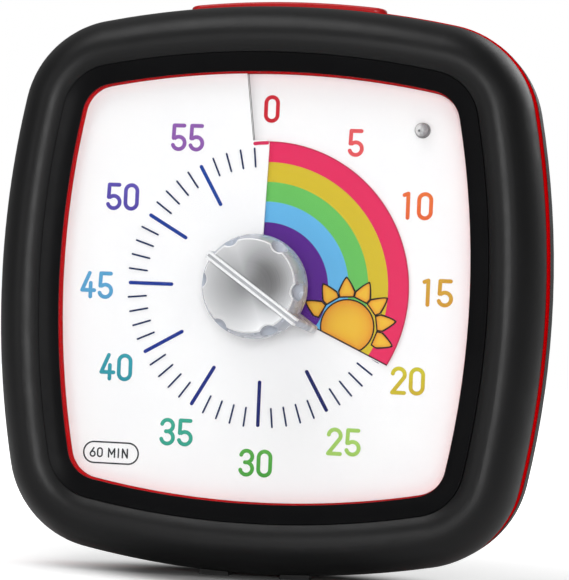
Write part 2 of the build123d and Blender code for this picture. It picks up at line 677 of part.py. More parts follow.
with BuildPart() as fourth_wheel:
    wheel_and_pinion(FOURTH, fourth_phase, wheel_depths[1] - PINION_LEAD, wheel_depths[2])
fourth_wheel.part.label = "fourth_wheel"
export_step(fourth_wheel.part, "parts/fourth_wheel.step")

# ---- step motor: rotor, stator and coil
MAGNET_RADIUS = 2.9
MAGNET_FRONT = wheel_depths[2] + WHEEL_THICKNESS + 0.5
with BuildPart() as rotor:
    with BuildSketch(level(ARBOR_REAR, *ROTOR)):
        Circle(ARBOR_RADIUS)
    extrude(amount=ARBOR_REAR - MOVEMENT_FRONT - ARBOR_PLAY)
    with BuildSketch(level(MAGNET_FRONT, *ROTOR)):
        gear_face(PINION_TEETH, rotor_phase)
    extrude(amount=MAGNET_FRONT - wheel_depths[2] + PINION_LEAD)
    with BuildSketch(level(COVER_FRONT - 0.4, *ROTOR)):
        Circle(MAGNET_RADIUS)
    extrude(amount=COVER_FRONT - 0.4 - MAGNET_FRONT)
rotor.part.label = "rotor"
export_step(rotor.part, "parts/rotor.step")

STATOR_FRONT = MAGNET_FRONT + 0.2
STATOR_THICKNESS = 1.2
COIL_X = 16.5
COIL_LENGTH = 12.0
COIL_DROP = 4.2
COIL_RISE = 1.0
WINDING_RADIUS = 3.6
FLANGE_SIZE = 7.8
FLANGE_WIDTH = 1.2
with BuildPart() as stator:
    with BuildSketch(level(STATOR_FRONT + STATOR_THICKNESS)):
        with Locations((ROTOR[0] + 10.0, ROTOR[1])):
            RectangleRounded(31.0, 9.6, 2)
        with Locations(ROTOR):
            Circle(MAGNET_RADIUS + 0.5, mode=Mode.SUBTRACT)
        with Locations((COIL_X, ROTOR[1] + COIL_RISE)):
            Rectangle(COIL_LENGTH - 2.0, 5.4, mode=Mode.SUBTRACT)
    extrude(amount=STATOR_THICKNESS)
stator.part.label = "stator"
export_step(stator.part, "parts/stator.step")



def coil_plane(x):
    """Plane across the coil's axis at x, facing +X."""
    return Plane(
        origin=(x, DIAL_Y + STATOR_FRONT - COIL_DROP, DIAL_Z + ROTOR[1] + COIL_RISE),
        x_dir=(0, 1, 0), z_dir=(1, 0, 0),
    )


with BuildPart() as coil:
    coil_start = COIL_X - COIL_LENGTH / 2
    with BuildSketch(coil_plane(coil_start + FLANGE_WIDTH)):
        Circle(WINDING_RADIUS)
    extrude(amount=COIL_LENGTH - 2 * FLANGE_WIDTH)
    with BuildSketch(coil_plane(coil_start), coil_plane(coil_start + COIL_LENGTH - FLANGE_WIDTH)):
        RectangleRounded(FLANGE_SIZE, FLANGE_SIZE, 1)
    extrude(amount=FLANGE_WIDTH)
coil.part.label = "coil"
export_step(coil.part, "parts/coil.step")

# ---- knob shaft: knob end with a flat, journal in the bushing, pivot in the cover
SHAFT_FRONT = -20.0
JOURNAL_FRONT = BEZEL_REAR - 3.0
PIVOT_FRONT = wheel_depths[0] + WHEEL_THICKNESS + 0.9
SHAFT_REAR = MOVEMENT_REAR + 1.4
with BuildPart() as knob_shaft:
    with BuildSketch(level(JOURNAL_FRONT)):
        Circle(SHAFT_RADIUS)
    extrude(amount=JOURNAL_FRONT - SHAFT_FRONT)
    chamfer(knob_shaft.faces().sort_by(Axis.Y)[0].edges(), 0.5)
    with BuildSketch(turned_level(JOURNAL_FRONT, REST_ANGLE)):
        with Locations(((SHAFT_FLAT + SHAFT_RADIUS + 1.0) / 2, 0)):
            Rectangle(SHAFT_RADIUS + 1.0 - SHAFT_FLAT, 2 * SHAFT_RADIUS + 1)
    extrude(amount=JOURNAL_FRONT - SHAFT_FRONT, mode=Mode.SUBTRACT)
    with BuildSketch(level(PIVOT_FRONT)):
        Circle(JOURNAL_RADIUS)
    extrude(amount=PIVOT_FRONT - JOURNAL_FRONT)
    with BuildSketch(level(SHAFT_REAR)):
        Circle(PIVOT_RADIUS)
    extrude(amount=SHAFT_REAR - PIVOT_FRONT)
knob_shaft.part.label = "knob_shaft"
export_step(knob_shaft.part, "parts/knob_shaft.step")

# ---- clutch spring: a dished star washer that presses the centre wheel against its seat
with BuildPart() as clutch_spring:
    with BuildSketch(level(wheel_depths[0] + WHEEL_THICKNESS + 0.4)):
        Circle(4.6)
        with PolarLocations(4.6, 3):
            Circle(1.5, mode=Mode.SUBTRACT)
        Circle(JOURNAL_RADIUS + 0.02, mode=Mode.SUBTRACT)
    extrude(amount=0.35)
clutch_spring.part.label = "clutch_spring"
export_step(clutch_spring.part, "parts/clutch_spring.step")

# ---- retaining clip behind the movement cover
with BuildPart() as retaining_clip:
    with BuildSketch(level(MOVEMENT_REAR + 1.0)):
        Circle(3.4)
        Circle(PIVOT_RADIUS + 0.02, mode=Mode.SUBTRACT)
        with Locations((0, -3.0)):
            Rectangle(1.8, 4.0, mode=Mode.SUBTRACT)
    extrude(amount=0.7)
retaining_clip.part.label = "retaining_clip"
export_step(retaining_clip.part, "parts/retaining_clip.step")


# ---- knob: clear scalloped body with a pointer fin, and a silver cap with two ridges
def notch_places(radius):
    """Places of the grip notches at a radius, midway between the pointer and its normals."""
    step = 360 / NOTCH_COUNT
    turns = [step * (n + 0.5) for n in range(NOTCH_COUNT)]
    return [(radius * cos(radians(t)), radius * sin(radians(t))) for t in turns]


def pointer_reach(point):
    """How far a point lies from the knob's axis towards the pointer."""
    return point.X * sin(radians(POINTER_ANGLE)) + (point.Z - DIAL_Z) * cos(radians(POINTER_ANGLE))


KNOB_AXIS = Axis((0, DIAL_Y, DIAL_Z), (0, 1, 0))
POINTER_SIDE = Plane(
    origin=(0, DIAL_Y, DIAL_Z),
    x_dir=(sin(radians(POINTER_ANGLE)), 0, cos(radians(POINTER_ANGLE))),
    z_dir=Vector(sin(radians(POINTER_ANGLE)), 0, cos(radians(POINTER_ANGLE))).cross(Vector(0, 1, 0)),
)
notch_radius = KNOB_RIM_RADIUS + NOTCH_RADIUS - NOTCH_DEPTH

with BuildPart() as knob_body:
    with BuildSketch(POINTER_SIDE):
        with BuildLine():
            side = Spline(
                (KNOB_BASE_RADIUS, KNOB_BASE_DEPTH),
                (KNOB_WIDE_RADIUS, KNOB_WIDE_DEPTH),
                (KNOB_RIM_RADIUS, KNOB_RIM_DEPTH),
            )
            Polyline(side @ 1, (0, KNOB_RIM_DEPTH), (0, KNOB_BASE_DEPTH), side @ 0)
        make_face()
    revolve(axis=KNOB_AXIS, revolution_arc=360)
    with BuildSketch(POINTER_SIDE):
        with BuildLine():
            Polyline(
                (POINTER_FOOT_REACH, KNOB_BASE_DEPTH),
                (POINTER_FOOT_REACH - 0.4, KNOB_BASE_DEPTH - 5.5),
                (POINTER_FRONT_REACH - 0.6, KNOB_RIM_DEPTH),
                (-POINTER_BACK_REACH + 0.6, KNOB_RIM_DEPTH),
                (-POINTER_BACK_REACH + 0.2, KNOB_WIDE_DEPTH - 3.0),
                (-KNOB_BASE_RADIUS + 1.0, KNOB_BASE_DEPTH),
                close=True,
            )
        make_face()
    extrude(amount=POINTER_WIDTH / 2, both=True)
    nose = knob_body.edges().filter_by(lambda e: pointer_reach(e.center()) > POINTER_FRONT_REACH + 0.5)
    fillet(nose, FIN_ROUNDING)
    with BuildSketch(turned_level(SCOOP_DEPTH, POINTER_ANGLE)):
        with Locations(*notch_places(notch_radius)):
            Circle(NOTCH_RADIUS)
    extrude(amount=SCOOP_DEPTH - KNOB_RIM_DEPTH + 1.0, mode=Mode.SUBTRACT)
    with Locations(turned_level(SCOOP_DEPTH, POINTER_ANGLE)):
        with Locations(*notch_places(notch_radius)):
            Sphere(NOTCH_RADIUS, mode=Mode.SUBTRACT)
    with BuildSketch(level(KNOB_BASE_DEPTH + 0.01)):
        Circle(KNOB_BASE_RADIUS - KNOB_WALL)
        Circle(5.0, mode=Mode.SUBTRACT)
    extrude(amount=KNOB_BASE_DEPTH - KNOB_RIM_DEPTH - 2.0, mode=Mode.SUBTRACT)
    with BuildSketch(level(KNOB_BASE_DEPTH + 0.01)):
        Circle(SHAFT_RADIUS + 0.02)
    extrude(amount=KNOB_BASE_DEPTH - SHAFT_FRONT + 0.1, mode=Mode.SUBTRACT)
    with BuildSketch(turned_level(KNOB_BASE_DEPTH, REST_ANGLE)):
        with Locations(((SHAFT_FLAT + 0.02 + SHAFT_RADIUS + 1.0) / 2, 0)):
            Rectangle(SHAFT_RADIUS + 1.0 - SHAFT_FLAT - 0.02, 2 * SHAFT_RADIUS)
    extrude(amount=KNOB_BASE_DEPTH - SHAFT_FRONT)
knob_body.part.label = "knob_body"
export_step(knob_body.part, "parts/knob_body.step")

CAP_REAR = KNOB_RIM_DEPTH - 0.05
CAP_EDGE = CAP_REAR - CAP_THICKNESS + CAP_DOME * 0.5
CAP_TOP = CAP_EDGE - CAP_DOME
RIDGE_OUT = (POINTER_WIDTH - RIDGE_WIDTH) / 2
with BuildPart() as knob_cap:
    with BuildSketch(POINTER_SIDE):
        with BuildLine():
            dome = ThreePointArc(
                (KNOB_RIM_RADIUS, CAP_EDGE), (KNOB_RIM_RADIUS * 0.52, CAP_TOP + CAP_DOME * 0.27), (0, CAP_TOP)
            )
            Polyline(dome @ 1, (0, CAP_REAR), (KNOB_RIM_RADIUS, CAP_REAR), dome @ 0)
        make_face()
    revolve(axis=KNOB_AXIS, revolution_arc=360)
    with BuildSketch(turned_level(CAP_REAR + 1.0, POINTER_ANGLE)):
        with Locations(*notch_places(notch_radius)):
            Circle(NOTCH_RADIUS)
    extrude(amount=3.0, mode=Mode.SUBTRACT)
    chamfer(knob_cap.faces().sort_by(Axis.Y)[0].edges(), CAP_CHAMFER)
    for side_shift in (-RIDGE_OUT, RIDGE_OUT):
        with BuildSketch(POINTER_SIDE.offset(side_shift)):
            with BuildLine():
                Polyline(
                    (POINTER_FRONT_REACH, CAP_REAR),
                    (POINTER_FRONT_REACH - 0.6, KNOB_FRONT + 0.5),
                    (POINTER_FRONT_REACH - 1.6, KNOB_FRONT),
                    (-POINTER_BACK_REACH + 1.2, KNOB_FRONT),
                    (-POINTER_BACK_REACH + 0.3, KNOB_FRONT + 0.5),
                    (-POINTER_BACK_REACH, CAP_REAR),
                    close=True,
                )
            make_face()
        extrude(amount=RIDGE_WIDTH / 2, both=True)
    crests = knob_cap.edges().filter_by(lambda e: e.bounding_box().max.Y < DIAL_Y + KNOB_FRONT + 0.01)
    fillet(crests.filter_by(lambda e: e.length > KNOB_RIM_RADIUS), RIDGE_ROUNDING)
    with BuildSketch(POINTER_SIDE):
        with BuildLine():
            Polyline(
                (POINTER_FRONT_REACH - 0.8, CAP_REAR),
                (POINTER_FRONT_REACH - 0.8, CAP_TOP - 0.1),
                (-POINTER_BACK_REACH + 0.8, CAP_TOP - 0.1),
                (-POINTER_BACK_REACH + 0.8, CAP_REAR),
                close=True,
            )
        make_face()
    extrude(amount=RIDGE_OUT, both=True)
knob_cap.part.label = "knob_cap"
export_step(knob_cap.part, "parts/knob_cap.step")

# ---- rear cover: shell, battery bay, switch slots, sound holes, keyhole, screw tubes, lands
COVER_FILLET = 7.5
BAY_HALF = BAY_LENGTH / 2
BAY_HEIGHT = 4 * CELL_RADIUS + 3 * CELL_GAP
BAY_BOTTOM = BAY_TOP - BAY_HEIGHT
CELL_DEPTH = BACK_INSIDE - CELL_GAP - CELL_RADIUS
BAY_FLOOR = CELL_DEPTH - CELL_RADIUS - CELL_GAP
DOOR_HALF = BAY_HALF + DOOR_MARGIN
DOOR_TOP = BAY_TOP + DOOR_MARGIN
DOOR_BOTTOM = BAY_BOTTOM - DOOR_MARGIN
LEDGE_REAR = CASE_BACK - DOOR_THICKNESS - 0.1
TUBE_RADIUS = SCREW_HEAD_RADIUS + 1.9
SCREW_SEAT = 20.0
CUT_START = CASE_BACK + CUT_MARGIN
SOUND_HOLE_RADIUS = 1.1
SWITCH_RECESS = 1.2
HINGE_Z = DOOR_BOTTOM + DOOR_GAP + DOOR_THICKNESS / 2
HINGE_DEPTH = CASE_BACK - DOOR_THICKNESS / 2


def box_sketch(left, right, bottom, top):
    """Rectangle by its edges in the current sketch."""
    with Locations(((left + right) / 2, (bottom + top) / 2)):
        Rectangle(right - left, top - bottom)


with BuildPart() as rear_cover:
    with BuildSketch(level(CASE_BACK)):
        outline_face(CASE_GROW)
    extrude(amount=CASE_BACK - BELT_REAR)
    fillet(rear_cover.faces().sort_by(Axis.Y)[-1].edges(), COVER_FILLET)
    with BuildPart(mode=Mode.PRIVATE) as cavity:
        with BuildSketch(level(BACK_INSIDE)):
            outline_face(cover_inside)
        extrude(amount=BACK_INSIDE - BELT_REAR + 1.0)
        fillet(cavity.faces().sort_by(Axis.Y)[-1].edges(), COVER_FILLET - COVER_WALL)
    add(cavity.part, mode=Mode.SUBTRACT)
    with BuildSketch(level(BACK_INSIDE + 0.5)):
        box_sketch(-DOOR_HALF - BAY_WALL, DOOR_HALF + BAY_WALL, DOOR_BOTTOM - BAY_WALL, DOOR_TOP + BAY_WALL)
    extrude(amount=2.0)
    with BuildSketch(level(BACK_INSIDE + 0.5)):
        box_sketch(-BAY_HALF - BAY_WALL, BAY_HALF + BAY_WALL, BAY_BOTTOM - BAY_WALL, BAY_TOP + BAY_WALL)
    extrude(amount=BACK_INSIDE + 0.5 - BAY_FLOOR + BAY_WALL)
    with BuildSketch(level(CUT_START)):
        box_sketch(-BAY_HALF, BAY_HALF, BAY_BOTTOM, BAY_TOP)
    extrude(amount=CUT_START - BAY_FLOOR, mode=Mode.SUBTRACT)
    with BuildSketch(level(CUT_START)):
        box_sketch(-DOOR_HALF, DOOR_HALF, DOOR_BOTTOM, DOOR_TOP)
    extrude(amount=CUT_START - LEDGE_REAR, mode=Mode.SUBTRACT)
    with BuildSketch(Plane(
        origin=(-DOOR_HALF - HINGE_PIN_LENGTH, DIAL_Y + HINGE_DEPTH, DIAL_Z + HINGE_Z),
        x_dir=(0, 1, 0), z_dir=(1, 0, 0),
    )):
        Circle(HINGE_PIN_RADIUS + RUNNING)
    extrude(amount=2 * (DOOR_HALF + HINGE_PIN_LENGTH), mode=Mode.SUBTRACT)
    with BuildSketch(level(BACK_INSIDE + 0.5)):
        with Locations(*four_corners(SCREW_X, SCREW_Z)):
            Circle(TUBE_RADIUS)
    extrude(amount=BACK_INSIDE + 0.5 - WEB_REAR - 0.1)
    with BuildSketch(level(CUT_START)):
        with Locations(*four_corners(SCREW_X, SCREW_Z)):
            Circle(SCREW_HEAD_RADIUS + 0.4)
    extrude(amount=CUT_START - SCREW_SEAT, mode=Mode.SUBTRACT)
    with BuildSketch(level(SCREW_SEAT + 0.1)):
        with Locations(*four_corners(SCREW_X, SCREW_Z)):
            Circle(SCREW_SHANK_RADIUS + 0.4)
    extrude(amount=SCREW_SEAT, mode=Mode.SUBTRACT)
    with BuildSketch(level(CUT_START)):
        for switch_x in (VOLUME_X, DURATION_X):
            with Locations((switch_x, SWITCH_Z)):
                RectangleRounded(2 * SLIDER_TRAVEL + 5.0, 4.0, 0.8)
        with Locations((0, KEYHOLE_Z)):
            Circle(KEYHOLE_RADIUS)
        with Locations((0, KEYHOLE_Z + KEYHOLE_RISE / 2)):
            Rectangle(2 * KEYHOLE_SLOT_RADIUS, KEYHOLE_RISE)
        with Locations((0, KEYHOLE_Z + KEYHOLE_RISE)):
            Circle(KEYHOLE_SLOT_RADIUS)
        with Locations((SOUNDER_X, SOUNDER_Z)):
            Circle(SOUND_HOLE_RADIUS)
            with PolarLocations(4.0, 6):
                Circle(SOUND_HOLE_RADIUS)
            with PolarLocations(7.6, 12):
                Circle(SOUND_HOLE_RADIUS)
    extrude(amount=BACK_WALL + 2 * CUT_MARGIN, mode=Mode.SUBTRACT)
    with BuildSketch(level(CUT_START)):
        for switch_x in (VOLUME_X, DURATION_X):
            with Locations((switch_x, SWITCH_Z)):
                RectangleRounded(2 * SLIDER_TRAVEL + 9.0, 8.0, 2.0)
    extrude(amount=CUT_MARGIN + SWITCH_RECESS, mode=Mode.SUBTRACT)
    with BuildSketch(level(BACK_INSIDE + 0.2)):
        with Locations((SOUNDER_X, SOUNDER_Z)):
            Circle(SOUNDER_RADIUS + 1.5)
            Circle(SOUNDER_RADIUS + 0.1, mode=Mode.SUBTRACT)
        for board_side in (-1, 1):
            with Locations((BOARD_X + board_side * (BOARD_LENGTH / 2 - 4.0), BOARD_Z)):
                Circle(BOSS_RADIUS - 0.4)
                Circle(SCREW_SHANK_RADIUS + 0.05, mode=Mode.SUBTRACT)
    extrude(amount=BACK_INSIDE + 0.2 - BOARD_DEPTH - BOARD_THICKNESS)
    with BuildSketch(Plane.XY.offset(DIAL_Z + 70.0)):
        with Locations((0, DIAL_Y + BUTTON_FRONT + BUTTON_WIDTH / 2)):
            SlotOverall(2 * (BUTTON_HALF_LENGTH + BUTTON_SLOT_GAP), BUTTON_WIDTH + 2 * BUTTON_SLOT_GAP)
    extrude(amount=40.0, mode=Mode.SUBTRACT)
    with BuildSketch(Plane.XY.offset(FOOT_THICKNESS)):
        with Locations(*foot_places(REAR_FOOT_DEPTH)):
            Rectangle(FOOT_LENGTH, FOOT_WIDTH)
    extrude(amount=LAND_HEIGHT)
rear_cover.part.label = "rear_cover"
export_step(rear_cover.part, "parts/rear_cover.step")

# ---- battery door: round lower edge with two stub pins, grip ribs and a latch tongue
with BuildPart() as battery_door:
    with BuildSketch(level(CASE_BACK)):
        box_sketch(-DOOR_HALF + DOOR_GAP, DOOR_HALF - DOOR_GAP, HINGE_Z, DOOR_TOP - DOOR_GAP)
    extrude(amount=DOOR_THICKNESS)
    hinge_plane = Plane(
        origin=(-DOOR_HALF + DOOR_GAP, DIAL_Y + HINGE_DEPTH, DIAL_Z + HINGE_Z),
        x_dir=(0, 1, 0), z_dir=(1, 0, 0),
    )
    with BuildSketch(hinge_plane):
        Circle(DOOR_THICKNESS / 2)
    extrude(amount=2 * (DOOR_HALF - DOOR_GAP))
    with BuildSketch(hinge_plane.offset(-HINGE_PIN_LENGTH)):
        Circle(HINGE_PIN_RADIUS)
    extrude(amount=2 * (DOOR_HALF + HINGE_PIN_LENGTH - DOOR_GAP))
    with BuildSketch(level(CASE_BACK + 0.5)):
        for slit_x in (-6.5, 6.5):
            with Locations((slit_x, DOOR_TOP - DOOR_GAP - 4.5)):
                Rectangle(1.0, 9.0)
    extrude(amount=DOOR_THICKNESS + 1.0, mode=Mode.SUBTRACT)
    with BuildSketch(level(CASE_BACK + 0.5)):
        for rib in range(4):
            with Locations((0, DOOR_TOP - 4.0 - 2.0 * rib)):
                Rectangle(10.0, 0.9)
    extrude(amount=1.1, mode=Mode.SUBTRACT)
battery_door.part.label = "battery_door"
export_step(battery_door.part, "parts/battery_door.step")

# ---- cells and their contacts
UPPER_CELL_Z = BAY_TOP - CELL_GAP - CELL_RADIUS
LOWER_CELL_Z = BAY_BOTTOM + CELL_GAP + CELL_RADIUS
CONTACT_THICKNESS = 0.5
CONTACT_COIL_RADIUS = 3.4
CONTACT_WIRE_RADIUS = 0.45


def across_plane(x, z, depth=CELL_DEPTH):
    """Plane facing +X at a point of the battery bay."""
    return Plane(origin=(x, DIAL_Y + depth, DIAL_Z + z), x_dir=(0, 1, 0), z_dir=(1, 0, 0))


with BuildPart() as aa_cells:
    for cell_z, sense in ((UPPER_CELL_Z, 1), (LOWER_CELL_Z, -1)):
        nub_x = sense * (BAY_HALF - CONTACT_THICKNESS - 0.4)
        can_end = nub_x - sense * CELL_NUB_LENGTH
        with BuildSketch(across_plane(can_end, cell_z)):
            Circle(CELL_RADIUS)
        extrude(amount=-sense * CELL_LENGTH)
        with BuildSketch(across_plane(can_end, cell_z)):
            Circle(CELL_NUB_RADIUS)
        extrude(amount=sense * CELL_NUB_LENGTH)
    chamfer(aa_cells.edges().filter_by(GeomType.CIRCLE).filter_by(lambda e: e.radius > 5), 0.5)
aa_cells.part.label = "aa_cells"
export_step(aa_cells.part, "parts/aa_cells.step")

with BuildPart() as contact_plates:
    for plate_z, sense in ((UPPER_CELL_Z, 1), (LOWER_CELL_Z, -1)):
        with BuildSketch(across_plane(sense * (BAY_HALF - 0.05), plate_z)):
            RectangleRounded(11.0, 11.0, 1.5)
        extrude(amount=-sense * CONTACT_THICKNESS)
contact_plates.part.label = "contact_plates"
export_step(contact_plates.part, "parts/contact_plates.step")

SPRING_ROOM = BAY_LENGTH - CONTACT_THICKNESS - 0.4 - CELL_NUB_LENGTH - CELL_LENGTH
with BuildPart() as contact_springs:
    for spring_z, sense in ((UPPER_CELL_Z, -1), (LOWER_CELL_Z, 1)):
        with BuildSketch(across_plane(sense * (BAY_HALF - 0.05), spring_z)):
            RectangleRounded(11.0, 11.0, 1.5)
        extrude(amount=-sense * CONTACT_THICKNESS)
        coil_foot = Plane(
            origin=(sense * (BAY_HALF - 0.1 - CONTACT_THICKNESS), DIAL_Y + CELL_DEPTH, DIAL_Z + spring_z),
            x_dir=(0, 1, 0), z_dir=(-sense, 0, 0),
        )
        coil_length = SPRING_ROOM - CONTACT_THICKNESS - CONTACT_WIRE_RADIUS - 0.3
        wire = Edge.make_helix(coil_length / 4, coil_length, CONTACT_COIL_RADIUS)
        with BuildLine() as contact_line:
            add(coil_foot.from_local_coords(wire))
        with BuildSketch(Plane(origin=contact_line.line @ 0, z_dir=contact_line.line % 0)):
            RegularPolygon(CONTACT_WIRE_RADIUS, 6)
        sweep(path=contact_line.line, is_frenet=True)
contact_springs.part.label = "contact_springs"
export_step(contact_springs.part, "parts/contact_springs.step")

# ---- top button: curved bar, inner flange, two guide posts and the switch stem
SLIDE_DEPTH = BUTTON_FRONT + BUTTON_WIDTH / 2
FLANGE_TOP = cover_inside - 0.3
FLANGE_LOW = FLANGE_TOP - FLANGE_THICKNESS
BUTTON_BOARD_LENGTH = 22.0
BUTTON_BOARD_WIDTH = 10.0
BUTTON_BOARD_THICKNESS = 1.2
SWITCH_SIZE = 6.0
SWITCH_HEIGHT = 3.6
GUIDE_HEIGHT = 5.0
guide_radius = SPRING_COIL_RADIUS - SPRING_WIRE_RADIUS - 0.4
BUTTON_BOARD_TOP = SHELF_HEIGHT + BUTTON_BOARD_THICKNESS
SWITCH_TOP = BUTTON_BOARD_TOP + SWITCH_HEIGHT
STEM_BOTTOM = SWITCH_TOP + BUTTON_TRAVEL + 0.3


def arc_bar(half_length, low_grow, high_grow):
    """Band between two curves of the top outline, cut square at its ends."""
    with BuildLine() as band:
        top_z = WINDOW_HALF_HEIGHT - TOP_RADIUS
        high = TOP_RADIUS + high_grow
        low = TOP_RADIUS + low_grow
        upper = ThreePointArc(
            (-half_length, top_z + sqrt(high**2 - half_length**2)), (0, top_z + high),
            (half_length, top_z + sqrt(high**2 - half_length**2)),
        )
        lower = ThreePointArc(
            (-half_length, top_z + sqrt(low**2 - half_length**2)), (0, top_z + low),
            (half_length, top_z + sqrt(low**2 - half_length**2)),
        )
        Line(upper @ 0, lower @ 0)
        Line(upper @ 1, lower @ 1)
    make_face(band.edges())


with BuildPart() as top_button:
    with BuildSketch(Plane.XY.offset(DIAL_Z + 80.0)):
        with Locations((0, DIAL_Y + SLIDE_DEPTH)):
            SlotOverall(2 * BUTTON_HALF_LENGTH, BUTTON_WIDTH)
    extrude(amount=40.0)
    with BuildSketch(level(BUTTON_REAR + 1.0)):
        arc_bar(BUTTON_HALF_LENGTH + 1.0, FLANGE_TOP - 0.5, CASE_GROW + BUTTON_PROUD)
    extrude(amount=BUTTON_WIDTH + 2.0, mode=Mode.INTERSECT)
    crest = top_button.edges().filter_by(lambda e: e.center().Z > DIAL_Z + 96.0)
    fillet(crest.filter_by(lambda e: e.bounding_box().min.Z > DIAL_Z + 96.0), BUTTON_ROUNDING)
    with BuildSketch(level(BUTTON_REAR + 1.2)):
        arc_bar(BUTTON_HALF_LENGTH + FLANGE_MARGIN, FLANGE_LOW, FLANGE_TOP)
    extrude(amount=BUTTON_WIDTH + 2.4)
    with BuildSketch(Plane.XY.offset(DIAL_Z + STEM_BOTTOM)):
        with Locations((0, DIAL_Y + SLIDE_DEPTH)):
            Rectangle(5.0, 1.6)
            Rectangle(1.6, 5.0)
    extrude(amount=edge_height(FLANGE_LOW, 0) + 0.3 - STEM_BOTTOM)
    post_top = edge_height(FLANGE_LOW, SPRING_X) + 0.3
    with BuildSketch(Plane.XY.offset(DIAL_Z + post_top - GUIDE_HEIGHT)):
        with Locations((-SPRING_X, DIAL_Y + SLIDE_DEPTH), (SPRING_X, DIAL_Y + SLIDE_DEPTH)):
            Circle(guide_radius)
    extrude(amount=GUIDE_HEIGHT)
top_button.part.label = "top_button"
export_step(top_button.part, "parts/top_button.step")

# ---- button springs: two wire coils between the shelf and the button's flange
SPRING_LOW = SHELF_HEIGHT + SPRING_WIRE_RADIUS + 0.02
SPRING_HIGH = edge_height(FLANGE_LOW, SPRING_X + SPRING_COIL_RADIUS) - SPRING_WIRE_RADIUS - 0.1
SPRING_LENGTH = SPRING_HIGH - SPRING_LOW
with BuildPart() as button_springs:
    for spring_x in (-SPRING_X, SPRING_X):
        foot = Plane(origin=(spring_x, DIAL_Y + SLIDE_DEPTH, DIAL_Z + SPRING_LOW))
        wire = Edge.make_helix(SPRING_LENGTH / SPRING_TURNS, SPRING_LENGTH, SPRING_COIL_RADIUS)
        with BuildLine() as coil_line:
            add(foot.from_local_coords(wire))
        with BuildSketch(Plane(origin=coil_line.line @ 0, z_dir=coil_line.line % 0)):
            RegularPolygon(SPRING_WIRE_RADIUS, 6)
        sweep(path=coil_line.line, is_frenet=True)
button_springs.part.label = "button_springs"
export_step(button_springs.part, "parts/button_springs.step")

# ---- button board, its switch and the switch plunger
with BuildPart() as button_board:
    with BuildSketch(Plane.XY.offset(DIAL_Z + SHELF_HEIGHT)):
        with Locations((0, DIAL_Y + SLIDE_DEPTH)):
            Rectangle(BUTTON_BOARD_LENGTH, BUTTON_BOARD_WIDTH)
    extrude(amount=BUTTON_BOARD_THICKNESS)
button_board.part.label = "button_board"
export_step(button_board.part, "parts/button_board.step")

PLUNGER_RADIUS = 1.7
with BuildPart() as button_switch:
    with BuildSketch(Plane.XY.offset(DIAL_Z + BUTTON_BOARD_TOP)):
        with Locations((0, DIAL_Y + SLIDE_DEPTH)):
            Rectangle(SWITCH_SIZE, SWITCH_SIZE)
    extrude(amount=SWITCH_HEIGHT)
    with BuildSketch(Plane.XY.offset(DIAL_Z + BUTTON_BOARD_TOP + 1.0)):
        with Locations((0, DIAL_Y + SLIDE_DEPTH)):
            Circle(PLUNGER_RADIUS + RUNNING)
    extrude(amount=SWITCH_TOP, mode=Mode.SUBTRACT)
button_switch.part.label = "button_switch"
export_step(button_switch.part, "parts/button_switch.step")

with BuildPart() as switch_plunger:
    with BuildSketch(Plane.XY.offset(DIAL_Z + SWITCH_TOP - 0.6)):
        with Locations((0, DIAL_Y + SLIDE_DEPTH)):
            Circle(PLUNGER_RADIUS)
    extrude(amount=STEM_BOTTOM - SWITCH_TOP + 0.6)
switch_plunger.part.label = "switch_plunger"
export_step(switch_plunger.part, "parts/switch_plunger.step")

# ---- signal light and its holder
LAMP_TIP = LENS_REAR + 0.5
LAMP_FLANGE_FRONT = 1.0
with BuildPart() as led:
    with BuildSketch(level(LAMP_FLANGE_FRONT + 1.0, LAMP_X, LAMP_Z)):
        Circle(LAMP_RADIUS + 0.4)
    extrude(amount=1.0)
    with BuildSketch(level(LAMP_FLANGE_FRONT, LAMP_X, LAMP_Z)):
        Circle(LAMP_RADIUS)
    extrude(amount=LAMP_FLANGE_FRONT - LAMP_TIP)
    fillet(led.faces().sort_by(Axis.Y)[0].edges(), LAMP_RADIUS * 0.92)
    with BuildSketch(level(WEB_REAR + 3.0, LAMP_X, LAMP_Z)):
        with Locations((-1.27, 0), (1.27, 0)):
            Rectangle(0.5, 0.5)
    extrude(amount=WEB_REAR + 3.0 - LAMP_FLANGE_FRONT - 0.8)
led.part.label = "led"
export_step(led.part, "parts/led.step")

with BuildPart() as led_holder:
    with BuildSketch(level(BEZEL_REAR, LAMP_X, LAMP_Z)):
        Circle(4.0)
        Circle(2.0, mode=Mode.SUBTRACT)
    extrude(amount=BEZEL_REAR - LAMP_FLANGE_FRONT - 1.02)
led_holder.part.label = "led_holder"
export_step(led_holder.part, "parts/led_holder.step")

# ---- main board, slide switches, sliders and sounder
with BuildPart() as circuit_board:
    with BuildSketch(level(BOARD_DEPTH + BOARD_THICKNESS - 0.02)):
        with Locations((BOARD_X, BOARD_Z)):
            Rectangle(BOARD_LENGTH, BOARD_HEIGHT)
        with Locations((SOUNDER_X, SOUNDER_Z)):
            Circle(SOUNDER_RADIUS + 2.5, mode=Mode.SUBTRACT)
        for board_side in (-1, 1):
            with Locations((BOARD_X + board_side * (BOARD_LENGTH / 2 - 4.0), BOARD_Z)):
                Circle(SCREW_SHANK_RADIUS + 0.2, mode=Mode.SUBTRACT)
    extrude(amount=BOARD_THICKNESS - 0.02)
    with BuildSketch(level(BOARD_DEPTH)):
        with Locations((BOARD_X + 4.0, BOARD_Z - 4.0)):
            Circle(5.0)
        with Locations((BOARD_X - 12.0, BOARD_Z + 6.0), (BOARD_X + 20.0, BOARD_Z + 5.0)):
            Rectangle(6.0, 4.0)
    extrude(amount=1.6)
circuit_board.part.label = "circuit_board"
export_step(circuit_board.part, "parts/circuit_board.step")

